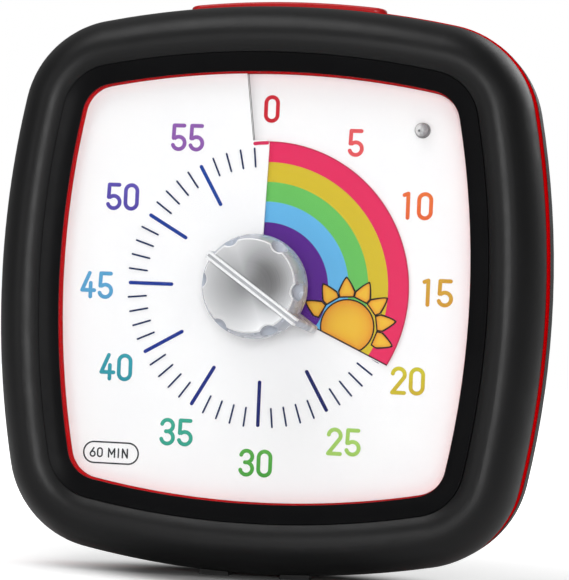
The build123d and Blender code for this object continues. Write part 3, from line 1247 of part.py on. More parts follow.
SWITCH_FRONT = BOARD_DEPTH + BOARD_THICKNESS
SWITCH_REAR = BACK_INSIDE - 1.2
SLIDER_REAR = CASE_BACK - 0.3
with BuildPart() as slide_switches:
    for switch_x in (VOLUME_X, DURATION_X):
        with BuildSketch(level(SWITCH_REAR, switch_x, SWITCH_Z)):
            Rectangle(13.0, 5.6)
        extrude(amount=SWITCH_REAR - SWITCH_FRONT)
        with BuildSketch(level(SWITCH_REAR, switch_x, SWITCH_Z)):
            Rectangle(2 * SLIDER_TRAVEL + 4.0, 2.6)
        extrude(amount=2.0, mode=Mode.SUBTRACT)
slide_switches.part.label = "slide_switches"
export_step(slide_switches.part, "parts/slide_switches.step")


def slider(switch_x):
    """Thumb piece of a slide switch with three grip grooves."""
    with BuildSketch(level(SLIDER_REAR, switch_x, SWITCH_Z)) as thumb:
        Rectangle(3.6, 2.3)
    extrude(thumb.sketch, amount=SLIDER_REAR - SWITCH_REAR + 1.8)
    with BuildSketch(level(SLIDER_REAR + 0.1, switch_x, SWITCH_Z)) as grooves:
        with GridLocations(1.1, 1, 3, 1):
            Rectangle(0.4, 3.0)
    extrude(grooves.sketch, amount=0.6, mode=Mode.SUBTRACT)


with BuildPart() as volume_slider:
    slider(VOLUME_X)
volume_slider.part.label = "volume_slider"
export_step(volume_slider.part, "parts/volume_slider.step")

with BuildPart() as duration_slider:
    slider(DURATION_X - SLIDER_TRAVEL)
duration_slider.part.label = "duration_slider"
export_step(duration_slider.part, "parts/duration_slider.step")

with BuildPart() as sounder:
    with BuildSketch(level(BACK_INSIDE - 0.05, SOUNDER_X, SOUNDER_Z)):
        Circle(SOUNDER_RADIUS)
    extrude(amount=8.0)
    with BuildSketch(level(BACK_INSIDE - 0.05, SOUNDER_X, SOUNDER_Z)):
        Circle(SOUNDER_RADIUS - 1.5)
    extrude(amount=1.5, mode=Mode.SUBTRACT)
sounder.part.label = "sounder"
export_step(sounder.part, "parts/sounder.step")


# ---- screws: pan heads with a cross recess
def screw(place, seat, length):
    """Screw whose head sits behind the seat depth, pointing to the viewer."""
    with BuildSketch(level(seat + SCREW_HEAD_HEIGHT, *place)) as head:
        Circle(SCREW_HEAD_RADIUS)
    extrude(head.sketch, amount=SCREW_HEAD_HEIGHT)
    with BuildSketch(level(seat, *place)) as shank:
        Circle(SCREW_SHANK_RADIUS)
    extrude(shank.sketch, amount=length)
    with BuildSketch(level(seat + SCREW_HEAD_HEIGHT, *place)) as recess:
        Rectangle(2.8, 0.7)
        Rectangle(0.7, 2.8)
    extrude(recess.sketch, amount=1.0, mode=Mode.SUBTRACT)


with BuildPart() as case_screws:
    for place in four_corners(SCREW_X, SCREW_Z):
        screw(place, SCREW_SEAT + 0.05, SCREW_SEAT)
case_screws.part.label = "case_screws"
export_step(case_screws.part, "parts/case_screws.step")

with BuildPart() as movement_screws:
    for place in lug_places:
        screw(place, MOVEMENT_FLOOR + 0.02, MOVEMENT_WALL + 4.0)
movement_screws.part.label = "movement_screws"
export_step(movement_screws.part, "parts/movement_screws.step")

with BuildPart() as board_screws:
    for board_side in (-1, 1):
        place = (BOARD_X + board_side * (BOARD_LENGTH / 2 - 4.0), BOARD_Z)
        with BuildSketch(level(BOARD_DEPTH - 0.02, *place)):
            Circle(SCREW_HEAD_RADIUS)
        extrude(amount=SCREW_HEAD_HEIGHT)
        with BuildSketch(level(BOARD_DEPTH + 6.0, *place)):
            Circle(SCREW_SHANK_RADIUS)
        extrude(amount=6.02)
board_screws.part.label = "board_screws"
export_step(board_screws.part, "parts/board_screws.step")

# ---- rubber feet: two under the bezel, two under the rear cover
with BuildPart() as rubber_feet:
    with BuildSketch(Plane.XY):
        with Locations(*foot_places(FRONT_FOOT_DEPTH), *foot_places(REAR_FOOT_DEPTH)):
            Rectangle(FOOT_LENGTH, FOOT_WIDTH)
    extrude(amount=FOOT_THICKNESS)
rubber_feet.part.label = "rubber_feet"
export_step(rubber_feet.part, "parts/rubber_feet.step")
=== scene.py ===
"""Looks of the visual countdown timer: finishes, printed dial, printed film, lamp and studio.

Metres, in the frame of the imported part.  Named sizes of the object are in millimetres and are
turned into metres where a mesh or a pattern is made; plain distances inside a finish, the studio
and the camera are in metres.  Dial coordinates x, z start at the dial's centre.
"""

import bpy
import numpy as np
from mathutils import Matrix


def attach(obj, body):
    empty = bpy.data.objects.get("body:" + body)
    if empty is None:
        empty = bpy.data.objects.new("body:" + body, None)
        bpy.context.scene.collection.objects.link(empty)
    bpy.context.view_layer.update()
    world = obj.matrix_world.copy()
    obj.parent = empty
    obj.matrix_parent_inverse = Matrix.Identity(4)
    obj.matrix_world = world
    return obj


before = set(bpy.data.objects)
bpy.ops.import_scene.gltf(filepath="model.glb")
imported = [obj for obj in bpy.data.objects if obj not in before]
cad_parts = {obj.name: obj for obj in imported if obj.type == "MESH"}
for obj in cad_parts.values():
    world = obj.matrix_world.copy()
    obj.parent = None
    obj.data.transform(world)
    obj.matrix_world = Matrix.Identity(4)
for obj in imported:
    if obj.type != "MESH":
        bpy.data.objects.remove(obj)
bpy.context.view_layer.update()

MM = 0.001
DIAL_Y = -3.6
DIAL_Z = 98.25
PITCH = 2.0
UNDERLAP = 10.0
SLIT_SHOULDER = 49.7
SLIT_REACH = 0.6
SLIT_FOOT = 5.6
SLIT_LEAN = 0.132
SLIT_LEAN_BELOW = 0.026
FILM_FRONT = -0.75
EDGE_ANGLE = 114.8
EDGE_OFFSET = 4.5
LAMP = (51.9, 54.6)
INK_LIFT = 0.07
INK_THICKNESS = 0.05
INK_STEP = 0.006
STROKE_CUTS = 0.6
ROUND_END_TURNS = np.radians(np.linspace(6, 78, 7))


# ---------------------------------------------------------------- shapes
def sheet_depth(x, z):
    """Depth of the dial's face: one pitch towards the viewer per clockwise turn.

    Just before twelve o'clock the sheet has two layers.  The front one ends at the slit, whose
    edge leans to the left above the film, so points right of that edge lie on the rear layer.
    """
    turn = np.degrees(np.arctan2(x, z))
    above = z > SLIT_SHOULDER
    leaning = -SLIT_FOOT - SLIT_LEAN * (z - SLIT_SHOULDER)
    edge = np.where(above, leaning, (z - SLIT_SHOULDER) * SLIT_LEAN_BELOW)
    rear = (turn > -UNDERLAP) & (x > edge - SLIT_REACH)
    return -PITCH * np.where(rear, turn, turn % 360) / 360


def front_layer_depth(x, z):
    """Depth of the dial's front layer, which goes on up to the slit."""
    return -PITCH * (np.degrees(np.arctan2(x, z)) % 360) / 360


def film_depth(x, z):
    """Depth of the film's face, which follows the same screw a little in front of the dial."""
    return FILM_FRONT - PITCH * (np.degrees(np.arctan2(x, z)) % 360) / 360


def in_row_frame(x, z, depth):
    """Dial coordinates and depth, in millimetres, as points of the row frame in metres."""
    return np.stack([x, depth + DIAL_Y, z + DIAL_Z], axis=-1) * MM


def srgb(colour):
    """sRGB values of 0 to 255 as linear values of 0 to 1."""
    value = np.asarray(colour, float) / 255
    return np.where(value <= 0.04045, value / 12.92, ((value + 0.055) / 1.055) ** 2.4)


def arc(x, z, radius, start, end, count=22):
    """Points of an arc; angles in degrees from the right, counted upwards."""
    turn = np.radians(np.linspace(start, end, count))
    return np.stack([x + radius * np.cos(turn), z + radius * np.sin(turn)], axis=1)


def polar(angle, radius):
    """Point at a dial angle, clockwise from twelve o'clock: x by its sine, z by its cosine."""
    turn = np.radians(angle)
    return np.sin(turn) * radius, np.cos(turn) * radius


def line(*points):
    """Straight runs between points, each divided into even short steps."""
    corners = np.array(points, float)
    steps = [
        a + (b - a) * np.linspace(0, 1, max(2, int(np.hypot(*(b - a)) / STROKE_CUTS) + 1))[:, None]
        for a, b in zip(corners[:-1], corners[1:])
    ]
    return np.concatenate([steps[0]] + [step[1:] for step in steps[1:]])


def joined(*paths):
    """Paths in order as one path, without the doubled points where they meet."""
    points = np.concatenate(paths)
    gaps = np.hypot(*np.diff(points, axis=0).T)
    return points[np.concatenate([[True], gaps > 1e-6])]


def band(path, width, closed=False):
    """Cross cuts of a band of even width: centre points, unit normals and half widths.

    Over the last half width before a free end the half width follows a circle, so the end is
    round.
    """
    ahead = np.roll(path, -1, axis=0) - path if closed else np.gradient(path, axis=0)
    if closed:
        ahead = ahead + path - np.roll(path, 1, axis=0)
    ahead = ahead / np.hypot(ahead[:, 0], ahead[:, 1])[:, None]
    half = np.full(len(path), width / 2)
    if not closed:
        count = len(ROUND_END_TURNS)
        reach, breadth = width / 2 * np.cos(ROUND_END_TURNS), width / 2 * np.sin(ROUND_END_TURNS)
        first = path[0] - ahead[0] * reach[:, None]
        last = path[-1] + ahead[-1] * reach[::-1, None]
        path = np.concatenate([first, path, last])
        ahead = np.concatenate(
            [np.repeat(ahead[:1], count, 0), ahead, np.repeat(ahead[-1:], count, 0)]
        )
        half = np.concatenate([breadth, half, breadth[::-1]])
    return path, np.stack([-ahead[:, 1], ahead[:, 0]], axis=1), half


class Print:
    """Thin printed bands and patches gathered into one mesh that follows a curved sheet."""

    def __init__(self, name, body, depth, material, lift=INK_LIFT):
        self.name, self.body, self.depth, self.material = name, body, depth, material
        self.lift = lift
        self.points, self.faces, self.colours, self.count, self.layers = [], [], [], 0, 0

    def add(self, points, faces, colours):
        """Takes in one more band or patch, whose layer lies a step above the one before."""
        self.points.append(points)
        self.faces.append(faces + self.count)
        self.colours.append(colours)
        self.count += len(points)
        self.layers += 1

    def stroke(self, path, width, low, high=None, reach=1.0, closed=False):
        """Band along a path; its colour runs from low to high over the height 2 reach."""
        centre, normal, half = band(path, width, closed)
        left = centre + normal * half[:, None]
        right = centre - normal * half[:, None]
        flat = np.stack([left, right, right, left], axis=1)
        lift = self.lift + INK_STEP * self.layers
        lifts = np.array([lift, lift, lift - INK_THICKNESS, lift - INK_THICKNESS])
        x, z = flat[..., 0], flat[..., 1]
        points = in_row_frame(x, z, self.depth(x, z) - lifts).reshape(-1, 3)
        cuts = len(centre)
        ring = np.arange(cuts if closed else cuts - 1)[:, None] * 4
        side = np.arange(4)
        nextside = (side + 1) % 4
        after = (ring + 4) % (4 * cuts)
        quads = np.stack(
            [ring + side, ring + nextside, after + nextside, after + side], axis=-1
        ).reshape(-1, 4)
        if not closed:
            tail = 4 * (cuts - 1)
            quads = np.concatenate([quads, [[3, 2, 1, 0]], [[tail, tail + 1, tail + 2, tail + 3]]])
        share = np.clip((z.reshape(-1) - z.mean()) / (2 * reach) + 0.5, 0, 1)[:, None]
        high = low if high is None else high
        self.add(points, quads, srgb(low) * (1 - share) + srgb(high) * share)

    def fan(self, x, z, outline, colours, rings=12):
        """Star-shaped patch: rings of points between a centre and an outline.

        Its colours are a function of the share of the way from the centre to the outline.
        """
        share = np.linspace(0, 1, rings + 1)[1:, None]
        grid_x = x + (outline[None, :, 0] - x) * share
        grid_z = z + (outline[None, :, 1] - z) * share
        flat_x = np.concatenate([[x], grid_x.reshape(-1)])
        flat_z = np.concatenate([[z], grid_z.reshape(-1)])
        lift = self.lift + INK_STEP * self.layers
        around = len(outline)
        front = in_row_frame(flat_x, flat_z, self.depth(flat_x, flat_z) - lift)
        back = front + np.array([0, INK_THICKNESS * MM, 0])
        spot = np.arange(around)
        turn = np.roll(spot, -1)
        middle = np.stack([np.zeros(around, int), spot + 1, turn + 1, turn + 1], axis=1)
        start = (1 + around * np.arange(rings - 1))[:, None]
        cells = np.stack(
            [start + spot, start + around + spot, start + around + turn, start + turn], axis=-1
        ).reshape(-1, 4)
        top = np.concatenate([middle, cells])
        shift = len(front)
        bottom = top[:, ::-1] + shift
        rim = 1 + around * (rings - 1)
        wall = np.stack([rim + spot, rim + spot + shift, rim + turn + shift, rim + turn], axis=1)
        faces = np.concatenate([top, bottom, wall])
        tint = colours(np.concatenate([[0.0], np.repeat(share[:, 0], around)]))
        self.add(np.concatenate([front, back]), faces, np.concatenate([tint, tint]))

    def build(self, slot):
        """One mesh of all bands; a cell whose corners meet at a pole becomes a triangle."""
        points = np.concatenate(self.points)
        faces = [list(dict.fromkeys(face)) for group in self.faces for face in group.tolist()]
        colours = np.concatenate(self.colours)
        obj = new_piece(self.name, points, faces, self.material, self.body)
        layer = obj.data.color_attributes.new("ink", "FLOAT_COLOR", "POINT")
        opaque = np.concatenate([colours, np.ones((len(colours), 1))], axis=1)
        layer.data.foreach_set("color", opaque.astype(np.float32).ravel())


def new_piece(name, points, faces, material, body, smooth=False):
    """Mesh object at the origin with its place in its mesh, riding on a body."""
    mesh = bpy.data.meshes.new(name)
    mesh.from_pydata(points.tolist(), [], faces if isinstance(faces, list) else faces.tolist())
    mesh.materials.append(material)
    mesh.polygons.foreach_set("use_smooth", [smooth] * len(mesh.polygons))
    mesh.update()
    obj = bpy.data.objects.new(name, mesh)
    bpy.context.scene.collection.objects.link(obj)
    if body:
        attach(obj, body)
    return obj


def turned(name, profile, centre, material, body, around=48):
    """Profile of (radius, depth) pairs turned about an axis through centre, closed at both ends."""
    radius, depth = np.array(profile, float).T
    turn = np.linspace(0, 2 * np.pi, around, endpoint=False)
    x = centre[0] + radius[:, None] * np.cos(turn)
    z = centre[1] + radius[:, None] * np.sin(turn)
    grid = in_row_frame(x, z, np.broadcast_to(depth[:, None], x.shape)).reshape(-1, 3)
    ends = in_row_frame(np.full(2, centre[0]), np.full(2, centre[1]), depth[[0, -1]])
    spot = np.arange(around)
    after = np.roll(spot, -1)
    start = (around * np.arange(len(radius) - 1))[:, None]
    cells = np.stack(
        [start + spot, start + after, start + around + after, start + around + spot], axis=-1
    ).reshape(-1, 4)
    last = around * (len(radius) - 1)
    front_hub, back_hub = len(grid), len(grid) + 1
    caps = [[front_hub, b, a] for a, b in zip(spot.tolist(), after.tolist())]
    caps += [[back_hub, last + a, last + b] for a, b in zip(spot.tolist(), after.tolist())]
    points = np.concatenate([grid, ends])
    return new_piece(name, points, cells.tolist() + caps, material, body, smooth=True)


# ---------------------------------------------------------------- finishes
def set_range(node, start, end, low, high):
    """Sets a Map Range node, so that start to end becomes low to high."""
    names = ("From Min", "From Max", "To Min", "To Max")
    for name, number in zip(names, (start, end, low, high)):
        node.inputs[name].default_value = number


class Finish:
    """A Principled material and the few nodes that the finishes share."""

    def __init__(self, name, **values):
        self.material = bpy.data.materials.new(name)
        self.material.use_nodes = True
        self.tree = self.material.node_tree
        self.shader = self.tree.nodes["Principled BSDF"]
        for key, value in values.items():
            self.shader.inputs[key.replace("_", " ")].default_value = value
        self.place = self.node("TexCoord").outputs["Object"]

    def node(self, kind, **settings):
        """New shader node of a kind, with its settings."""
        made = self.tree.nodes.new("ShaderNode" + kind)
        for key, value in settings.items():
            setattr(made, key, value)
        return made

    def join(self, source, target):
        """Link from an output to an input."""
        self.tree.links.new(source, target)

    def math(self, operation, *values):
        """Math node whose inputs are sockets or numbers."""
        made = self.node("Math", operation=operation)
        for socket, value in zip(made.inputs, values):
            if isinstance(value, (int, float)):
                socket.default_value = value
            else:
                self.join(value, socket)
        return made.outputs[0]

    def place_from(self, x, y, z):
        """Object coordinates measured from a point given in millimetres."""
        made = self.node("Mapping")
        made.inputs["Location"].default_value = (-x * MM, -y * MM, -z * MM)
        self.join(self.place, made.inputs["Vector"])
        return made.outputs["Vector"]

    def parts(self, vector):
        """The x, y and z of a vector."""
        made = self.node("SeparateXYZ")
        self.join(vector, made.inputs[0])
        return made.outputs

    def reach(self, parts):
        """Distance from the y axis: root of x squared and z squared."""
        squares = [self.math("MULTIPLY", parts[axis], parts[axis]) for axis in ("X", "Z")]
        return self.math("SQRT", self.math("ADD", *squares))

    def along(self, parts, angle):
        """Distance from the y axis along a dial angle: x by its sine and z by its cosine."""
        turn = np.radians(angle)
        return self.math("ADD", self.math("MULTIPLY", parts["X"], float(np.sin(turn))),
                         self.math("MULTIPLY", parts["Z"], float(np.cos(turn))))

    def noise(self, scale, detail=2.0, stretch=None):
        """Noise on Object coordinates, per metre; stretch scales the axes apart."""
        made = self.node("TexNoise")
        made.inputs["Scale"].default_value = scale
        made.inputs["Detail"].default_value = detail
        source = self.place
        if stretch:
            mapping = self.node("Mapping")
            mapping.inputs["Scale"].default_value = stretch
            self.join(self.place, mapping.inputs["Vector"])
            source = mapping.outputs["Vector"]
        self.join(source, made.inputs["Vector"])
        return made.outputs["Fac"]

    def spread(self, value, low, high, start=0.3, end=0.7):
        """Value from start to end mapped to low to high."""
        made = self.node("MapRange")
        set_range(made, start, end, low, high)
        self.join(value, made.inputs["Value"])
        return made.outputs["Result"]

    def ramp(self, value, stops):
        """Colour ramp with stops of (place, linear colour)."""
        made = self.node("ValToRGB")
        made.color_ramp.interpolation = "LINEAR"
        elements = made.color_ramp.elements
        while len(elements) < len(stops):
            elements.new(0.5)
        for element, (place, colour) in zip(elements, stops):
            element.position = place
            element.color = (*colour, 1.0)
        self.join(value, made.inputs["Fac"])
        return made.outputs["Color"]

    def blend(self, share, first, second):
        """Mix of two colours, each a socket or a linear colour, by a socket's share."""
        made = self.node("Mix", data_type="RGBA")
        self.join(share, made.inputs["Factor"])
        for key, value in (("A", first), ("B", second)):
            socket = [s for s in made.inputs if s.name == key and s.type == "RGBA"][0]
            if isinstance(value, bpy.types.NodeSocket):
                self.join(value, socket)
            else:
                socket.default_value = (*value, 1.0)
        return [s for s in made.outputs if s.type == "RGBA"][0]

    def relief(self, height, distance):
        """Bump of a height in metres."""
        made = self.node("Bump")
        made.inputs["Strength"].default_value = 1.0
        made.inputs["Distance"].default_value = distance
        self.join(height, made.inputs["Height"])
        self.join(made.outputs["Normal"], self.shader.inputs["Normal"])

    def coloured(self, source):
        """Base colour from a socket."""
        self.join(source, self.shader.inputs["Base Color"])

    def rough(self, source):
        """Roughness from a socket."""
        self.join(source, self.shader.inputs["Roughness"])


def moulded(name, colour, rough, grain=2600.0, depth=0.00002, mottle=0.05, spread=0.04,
            **values):
    """Moulded plastic: fine even grain, slow mottling of its tone and gloss."""
    made = Finish(name, **values)
    base = srgb(colour)
    slow = made.noise(55.0, 3.0)
    made.coloured(made.blend(made.spread(slow, 0, 1), base * (1 - mottle), base * (1 + mottle)))
    made.rough(made.spread(made.noise(130.0, 4.0), rough - spread, rough + spread))
    made.relief(made.noise(grain, 2.0), depth)
    return made


def metal(name, colour, rough, stretch=(1, 1, 1), grain=3000.0, depth=0.000006, mottle=0.06):
    """Plain metal: fine grain, long along one axis where it is drawn or rolled."""
    made = Finish(name, Metallic=1.0)
    base = srgb(colour)
    streak = made.noise(grain, 2.0, stretch)
    light = np.minimum(base * (1 + mottle), 1)
    made.coloured(made.blend(made.spread(streak, 0, 1), base * (1 - mottle), light))
    made.rough(made.spread(streak, rough - 0.05, rough + 0.06))
    made.relief(streak, depth)
    return made


finishes = {
    "bezel": moulded("satin_black", (10, 10, 11), 0.42, mottle=0.12, spread=0.03,
                     Specular_IOR_Level=0.3),
    "ring": moulded("gloss_black", (16, 16, 17), 0.3, grain=1500.0, depth=0.000004, mottle=0.1,
                    spread=0.02, Specular_IOR_Level=0.03),
    "rear": moulded("grained_black", (20, 20, 21), 0.5, depth=0.00003, mottle=0.12,
                    Specular_IOR_Level=0.3),
    "red": moulded("inner_red", (206, 2, 7), 0.4, grain=1800.0, depth=0.000006, spread=0.03,
                   Specular_IOR_Level=0.0),
    "button": moulded("gloss_red", (186, 6, 12), 0.3, grain=1800.0, depth=0.000006, spread=0.03,
                      Specular_IOR_Level=0.35),
    "natural": moulded("natural_acetal", (226, 222, 212), 0.45, depth=0.00001, mottle=0.03),
    "inner": moulded("inner_black", (30, 30, 30), 0.55, mottle=0.12),
    "rubber": moulded("foot_rubber", (34, 34, 35), 0.85, grain=1600.0, depth=0.00006, mottle=0.15),
    "steel": metal("plain_steel", (178, 180, 184), 0.32, (1, 1, 6)),
    "brass": metal("turned_brass", (212, 176, 104), 0.3, (6, 1, 1)),
    "plated": metal("plated_contact", (205, 206, 208), 0.2, (1, 5, 1)),
    "cup": metal("reflector_cup", (236, 237, 240), 0.3, grain=2000.0),
    "die": moulded("lamp_die", (70, 70, 72), 0.4, mottle=0.2),
}

# ---- dial: white, with a painted shade as a dark line along the slit's gap and a painted soft shadow beside it
white_dial = Finish("dial_white", Specular_IOR_Level=0.2)
from_slit = white_dial.parts(white_dial.place_from(-SLIT_FOOT, 0, DIAL_Z + SLIT_SHOULDER))
right_of_slit = white_dial.math("ADD", from_slit["X"],
                                white_dial.math("MULTIPLY", from_slit["Z"], SLIT_LEAN))
above_slit = white_dial.math("GREATER_THAN", from_slit["Z"], 0.0)
# painted shade: a dark line along the slit's edge, standing for the shaded gap between the layers
painted_gap_shade = white_dial.math("MULTIPLY", white_dial.spread(right_of_slit, 0, 1, -0.00006, 0.00002),
                           white_dial.spread(right_of_slit, 1, 0, 0.0001, 0.00024))
# painted shadow: a soft grey band to the right of the slit, where the front layer casts its shadow
painted_slit_shadow = white_dial.math("MULTIPLY", white_dial.spread(right_of_slit, 0, 0.14, 0.0, 0.0001),
                              white_dial.spread(right_of_slit, 1, 0, 0.0002, 0.0042))
paper_and_painted_shadow = white_dial.blend(white_dial.spread(white_dial.noise(55.0, 3.0), 0, 1),
                         srgb((252, 252, 253)), srgb((254, 254, 254)))
paper_and_painted_shadow = white_dial.blend(white_dial.math("MULTIPLY", painted_slit_shadow, above_slit), paper_and_painted_shadow,
                         srgb((120, 120, 122)))
white_dial.coloured(white_dial.blend(white_dial.math("MULTIPLY", painted_gap_shade, above_slit), paper_and_painted_shadow,
                                     srgb((22, 22, 24))))
white_dial.rough(white_dial.spread(white_dial.noise(130.0, 4.0), 0.51, 0.59))
white_dial.relief(white_dial.noise(2600.0), 0.000006)
finishes["dial"] = white_dial

# ---- cells: foil sleeve with a dark and a copper coloured zone
sleeve = Finish("cell_sleeve", Metallic=0.55, Roughness=0.32)
zone = sleeve.spread(sleeve.parts(sleeve.place)["X"], 0, 1, -0.03, 0.03)
sleeve_colour = sleeve.ramp(zone, [
    (0.0, srgb((40, 42, 46))), (0.62, srgb((40, 42, 46))), (0.64, srgb((205, 140, 62))),
    (0.95, srgb((214, 152, 74)))])
sleeve.coloured(sleeve.blend(sleeve.spread(sleeve.noise(400.0), 0, 0.12), sleeve_colour,
                             srgb((120, 118, 116))))
sleeve.relief(sleeve.noise(900.0), 0.00001)
finishes["wrap"] = sleeve

# ---- boards: finely rough solder mask with copper tracks that show through it
board = Finish("solder_mask", Roughness=0.35)
tracks = board.node("TexWave", wave_type="BANDS", bands_direction="DIAGONAL")
tracks.inputs["Scale"].default_value = 140.0
tracks.inputs["Distortion"].default_value = 6.0
board.join(board.place, tracks.inputs["Vector"])
board.coloured(board.blend(board.spread(tracks.outputs["Fac"], 0, 1, 0.55, 0.6),
                           srgb((18, 88, 48)), srgb((34, 122, 66))))
board.relief(board.noise(2200.0), 0.00001)
finishes["board"] = board

# ---- lens: thin clear sheet that hardly veils what lies behind it
lens = Finish("lens_clear", Alpha=0.012, Roughness=0.04, IOR=1.45)
lens.shader.inputs["Base Color"].default_value = (*srgb((190, 196, 206)), 1)
lens.relief(lens.noise(30.0), 0.00001)
lens.rough(lens.spread(lens.noise(60.0), 0.03, 0.06))
finishes["lens"] = lens

# ---- knob body: clear moulding with a cool tint and a painted highlight as a light rim where it is widest
KNOB_WIDE_DEPTH = -12.0
clear = Finish("knob_clear", IOR=1.46, Transmission_Weight=0.15)
rim_depth = (DIAL_Y + KNOB_WIDE_DEPTH) * MM
off_rim = clear.math("ABSOLUTE", clear.math("SUBTRACT", clear.parts(clear.place)["Y"], rim_depth))
# painted highlight: a light band round the body at its widest depth, where its silhouette catches
# the light
rim = clear.spread(off_rim, 1, 0, 0.0011, 0.0018)
tint = clear.blend(clear.spread(clear.noise(170.0), 0, 1), srgb((182, 189, 201)),
                   srgb((204, 210, 221)))
clear.coloured(clear.blend(clear.math("MULTIPLY", rim, 0.7), tint, srgb((250, 251, 253))))
clear.rough(clear.spread(clear.noise(160.0), 0.2, 0.32))
clear.relief(clear.noise(700.0), 0.00001)
finishes["knob"] = clear

# ---- knob cap: silver face, spun about the knob's axis, with painted light: lighter towards its rim, a painted shade wedge towards one side, painted highlights on its edges and ridges, painted shade in the groove and beside the ridges
SHADE_ANGLE = 70.0
POINTER_ANGLE = 125.0
GROOVE_HALF = 0.42
RIDGE_REACH = 1.36
CUT_BLEND = 0.04
FACE_METAL = 0.8
WHITE_METAL = 0.2
CAP_TONES = (52, 52, 53), (102, 102, 103), (152, 153, 155), (202, 203, 205), (250, 251, 252)
spun = Finish("cap_silver", Anisotropic=0.2)
from_axis = spun.parts(spun.place_from(0, DIAL_Y, DIAL_Z))
distance = spun.reach(from_axis)
rings = spun.node("TexNoise", noise_dimensions="1D")
rings.inputs["Scale"].default_value = 5200.0
rings.inputs["Detail"].default_value = 2.0
spun.join(distance, rings.inputs["W"])
# painted light: the face's tone rises towards its rim and falls in a painted shade wedge towards
# SHADE_ANGLE, standing for the lamps' reflections
shade = spun.math("DIVIDE", spun.math("MAXIMUM", spun.along(from_axis, SHADE_ANGLE), 0.0),
                  spun.math("MAXIMUM", distance, 0.008))
tone = spun.math("SUBTRACT", spun.math("ADD", spun.math("MULTIPLY", distance, 26.7), 0.5),
                 spun.math("MULTIPLY", shade, 0.39))
silver_and_painted_light = spun.ramp(spun.spread(tone, 0, 1, 0.2, 1.0),
                   [(0.25 * step, srgb(shade_of)) for step, shade_of in enumerate(CAP_TONES)])
silver_and_painted_light = spun.blend(spun.spread(rings.outputs["Fac"], 0, 0.05), silver_and_painted_light, srgb((250, 250, 252)))
across = spun.math("ABSOLUTE", spun.along(from_axis, POINTER_ANGLE + 90))
facing = spun.parts(spun.node("TexCoord").outputs["Normal"])["Y"]
# painted highlight: faces tilted away from the front, the chamfered edges, are painted white and
# less metallic
edge = spun.spread(spun.math("ABSOLUTE", facing), 1, 0, 0.8, 0.96)
# painted highlight on the two ridges and painted shade in the groove between them
ridge_highlight, groove_shade = (
    spun.spread(across, 1, 0, (half - CUT_BLEND) * MM, (half + CUT_BLEND) * MM)
    for half in (RIDGE_REACH, GROOVE_HALF)
)
# painted shade: a dark line along the outer foot of the ridges
ridge_foot_shade = spun.spread(across, 1, 0, (RIDGE_REACH + 0.1) * MM, (RIDGE_REACH + 0.5) * MM)
silver_and_painted_light = spun.blend(spun.math("MULTIPLY", ridge_foot_shade, 0.45), silver_and_painted_light, srgb((84, 84, 88)))
painted_white_highlight = spun.math("MAXIMUM", edge, ridge_highlight)
silver_and_painted_light = spun.blend(painted_white_highlight, silver_and_painted_light, srgb((246, 247, 249)))
spun.coloured(spun.blend(spun.math("MULTIPLY", groove_shade, 0.8), silver_and_painted_light, srgb((150, 151, 155))))
less_metal = spun.math("MULTIPLY", painted_white_highlight, FACE_METAL - WHITE_METAL)
spun.join(spun.math("SUBTRACT", FACE_METAL, less_metal), spun.shader.inputs["Metallic"])
spun.rough(spun.spread(rings.outputs["Fac"], 0.32, 0.44))
round_axis = spun.node("CombineXYZ")
spun.join(from_axis["Z"], round_axis.inputs["X"])
spun.join(spun.math("MULTIPLY", from_axis["X"], -1.0), round_axis.inputs["Z"])
spun.join(round_axis.outputs["Vector"], spun.shader.inputs["Tangent"])
spun.relief(rings.outputs["Fac"], 0.000004)
finishes["cap"] = spun

# ---- lamp: clear dome, painted light on one side and grey on the other, with faint cloudy noise, a dark spot over its die and a painted shade as a grey edge
dome = Finish("lamp_clear", IOR=1.5, Transmission_Weight=0.25)
from_lamp = dome.place_from(LAMP[0], DIAL_Y, LAMP[1] + DIAL_Z)
dome_parts = dome.parts(from_lamp)
# painted light: the dome is painted white on one side and grey on the other, as light falls through
# it
dome_side = dome.math("ADD", dome_parts["X"], dome.math("MULTIPLY", dome.noise(900.0), 0.002))
painted_side_light_and_cloud = dome.blend(dome.spread(dome_side, 0, 1, 0.0, 0.0012), srgb((254, 254, 254)),
                   srgb((176, 176, 178)))
painted_side_light_and_cloud = dome.blend(dome.spread(dome.noise(1500.0), 0, 0.3, 0.5, 0.6), painted_side_light_and_cloud, srgb((228, 228, 230)))
flat_place = dome.node("Mapping")
flat_place.inputs["Scale"].default_value = (1, 0, 1)
dome.join(from_lamp, flat_place.inputs["Vector"])
die_off = dome.node("VectorMath", operation="DISTANCE")
dome.join(flat_place.outputs["Vector"], die_off.inputs[0])
die_off.inputs[1].default_value = (-0.0007, 0, -0.0004)
painted_side_light_and_cloud = dome.blend(dome.spread(die_off.outputs["Value"], 0.9, 0, 0.0002, 0.0006), painted_side_light_and_cloud,
                   srgb((52, 52, 54)))
# painted shade: a grey edge round the dome's rim
dome.coloured(dome.blend(dome.spread(dome.reach(dome_parts), 0, 0.8, 0.002, 0.0023), painted_side_light_and_cloud,
                         srgb((112, 112, 114))))
dome.rough(dome.spread(dome.noise(400.0), 0.03, 0.09))
dome.relief(dome.noise(500.0), 0.00002)
finishes["lamp"] = dome

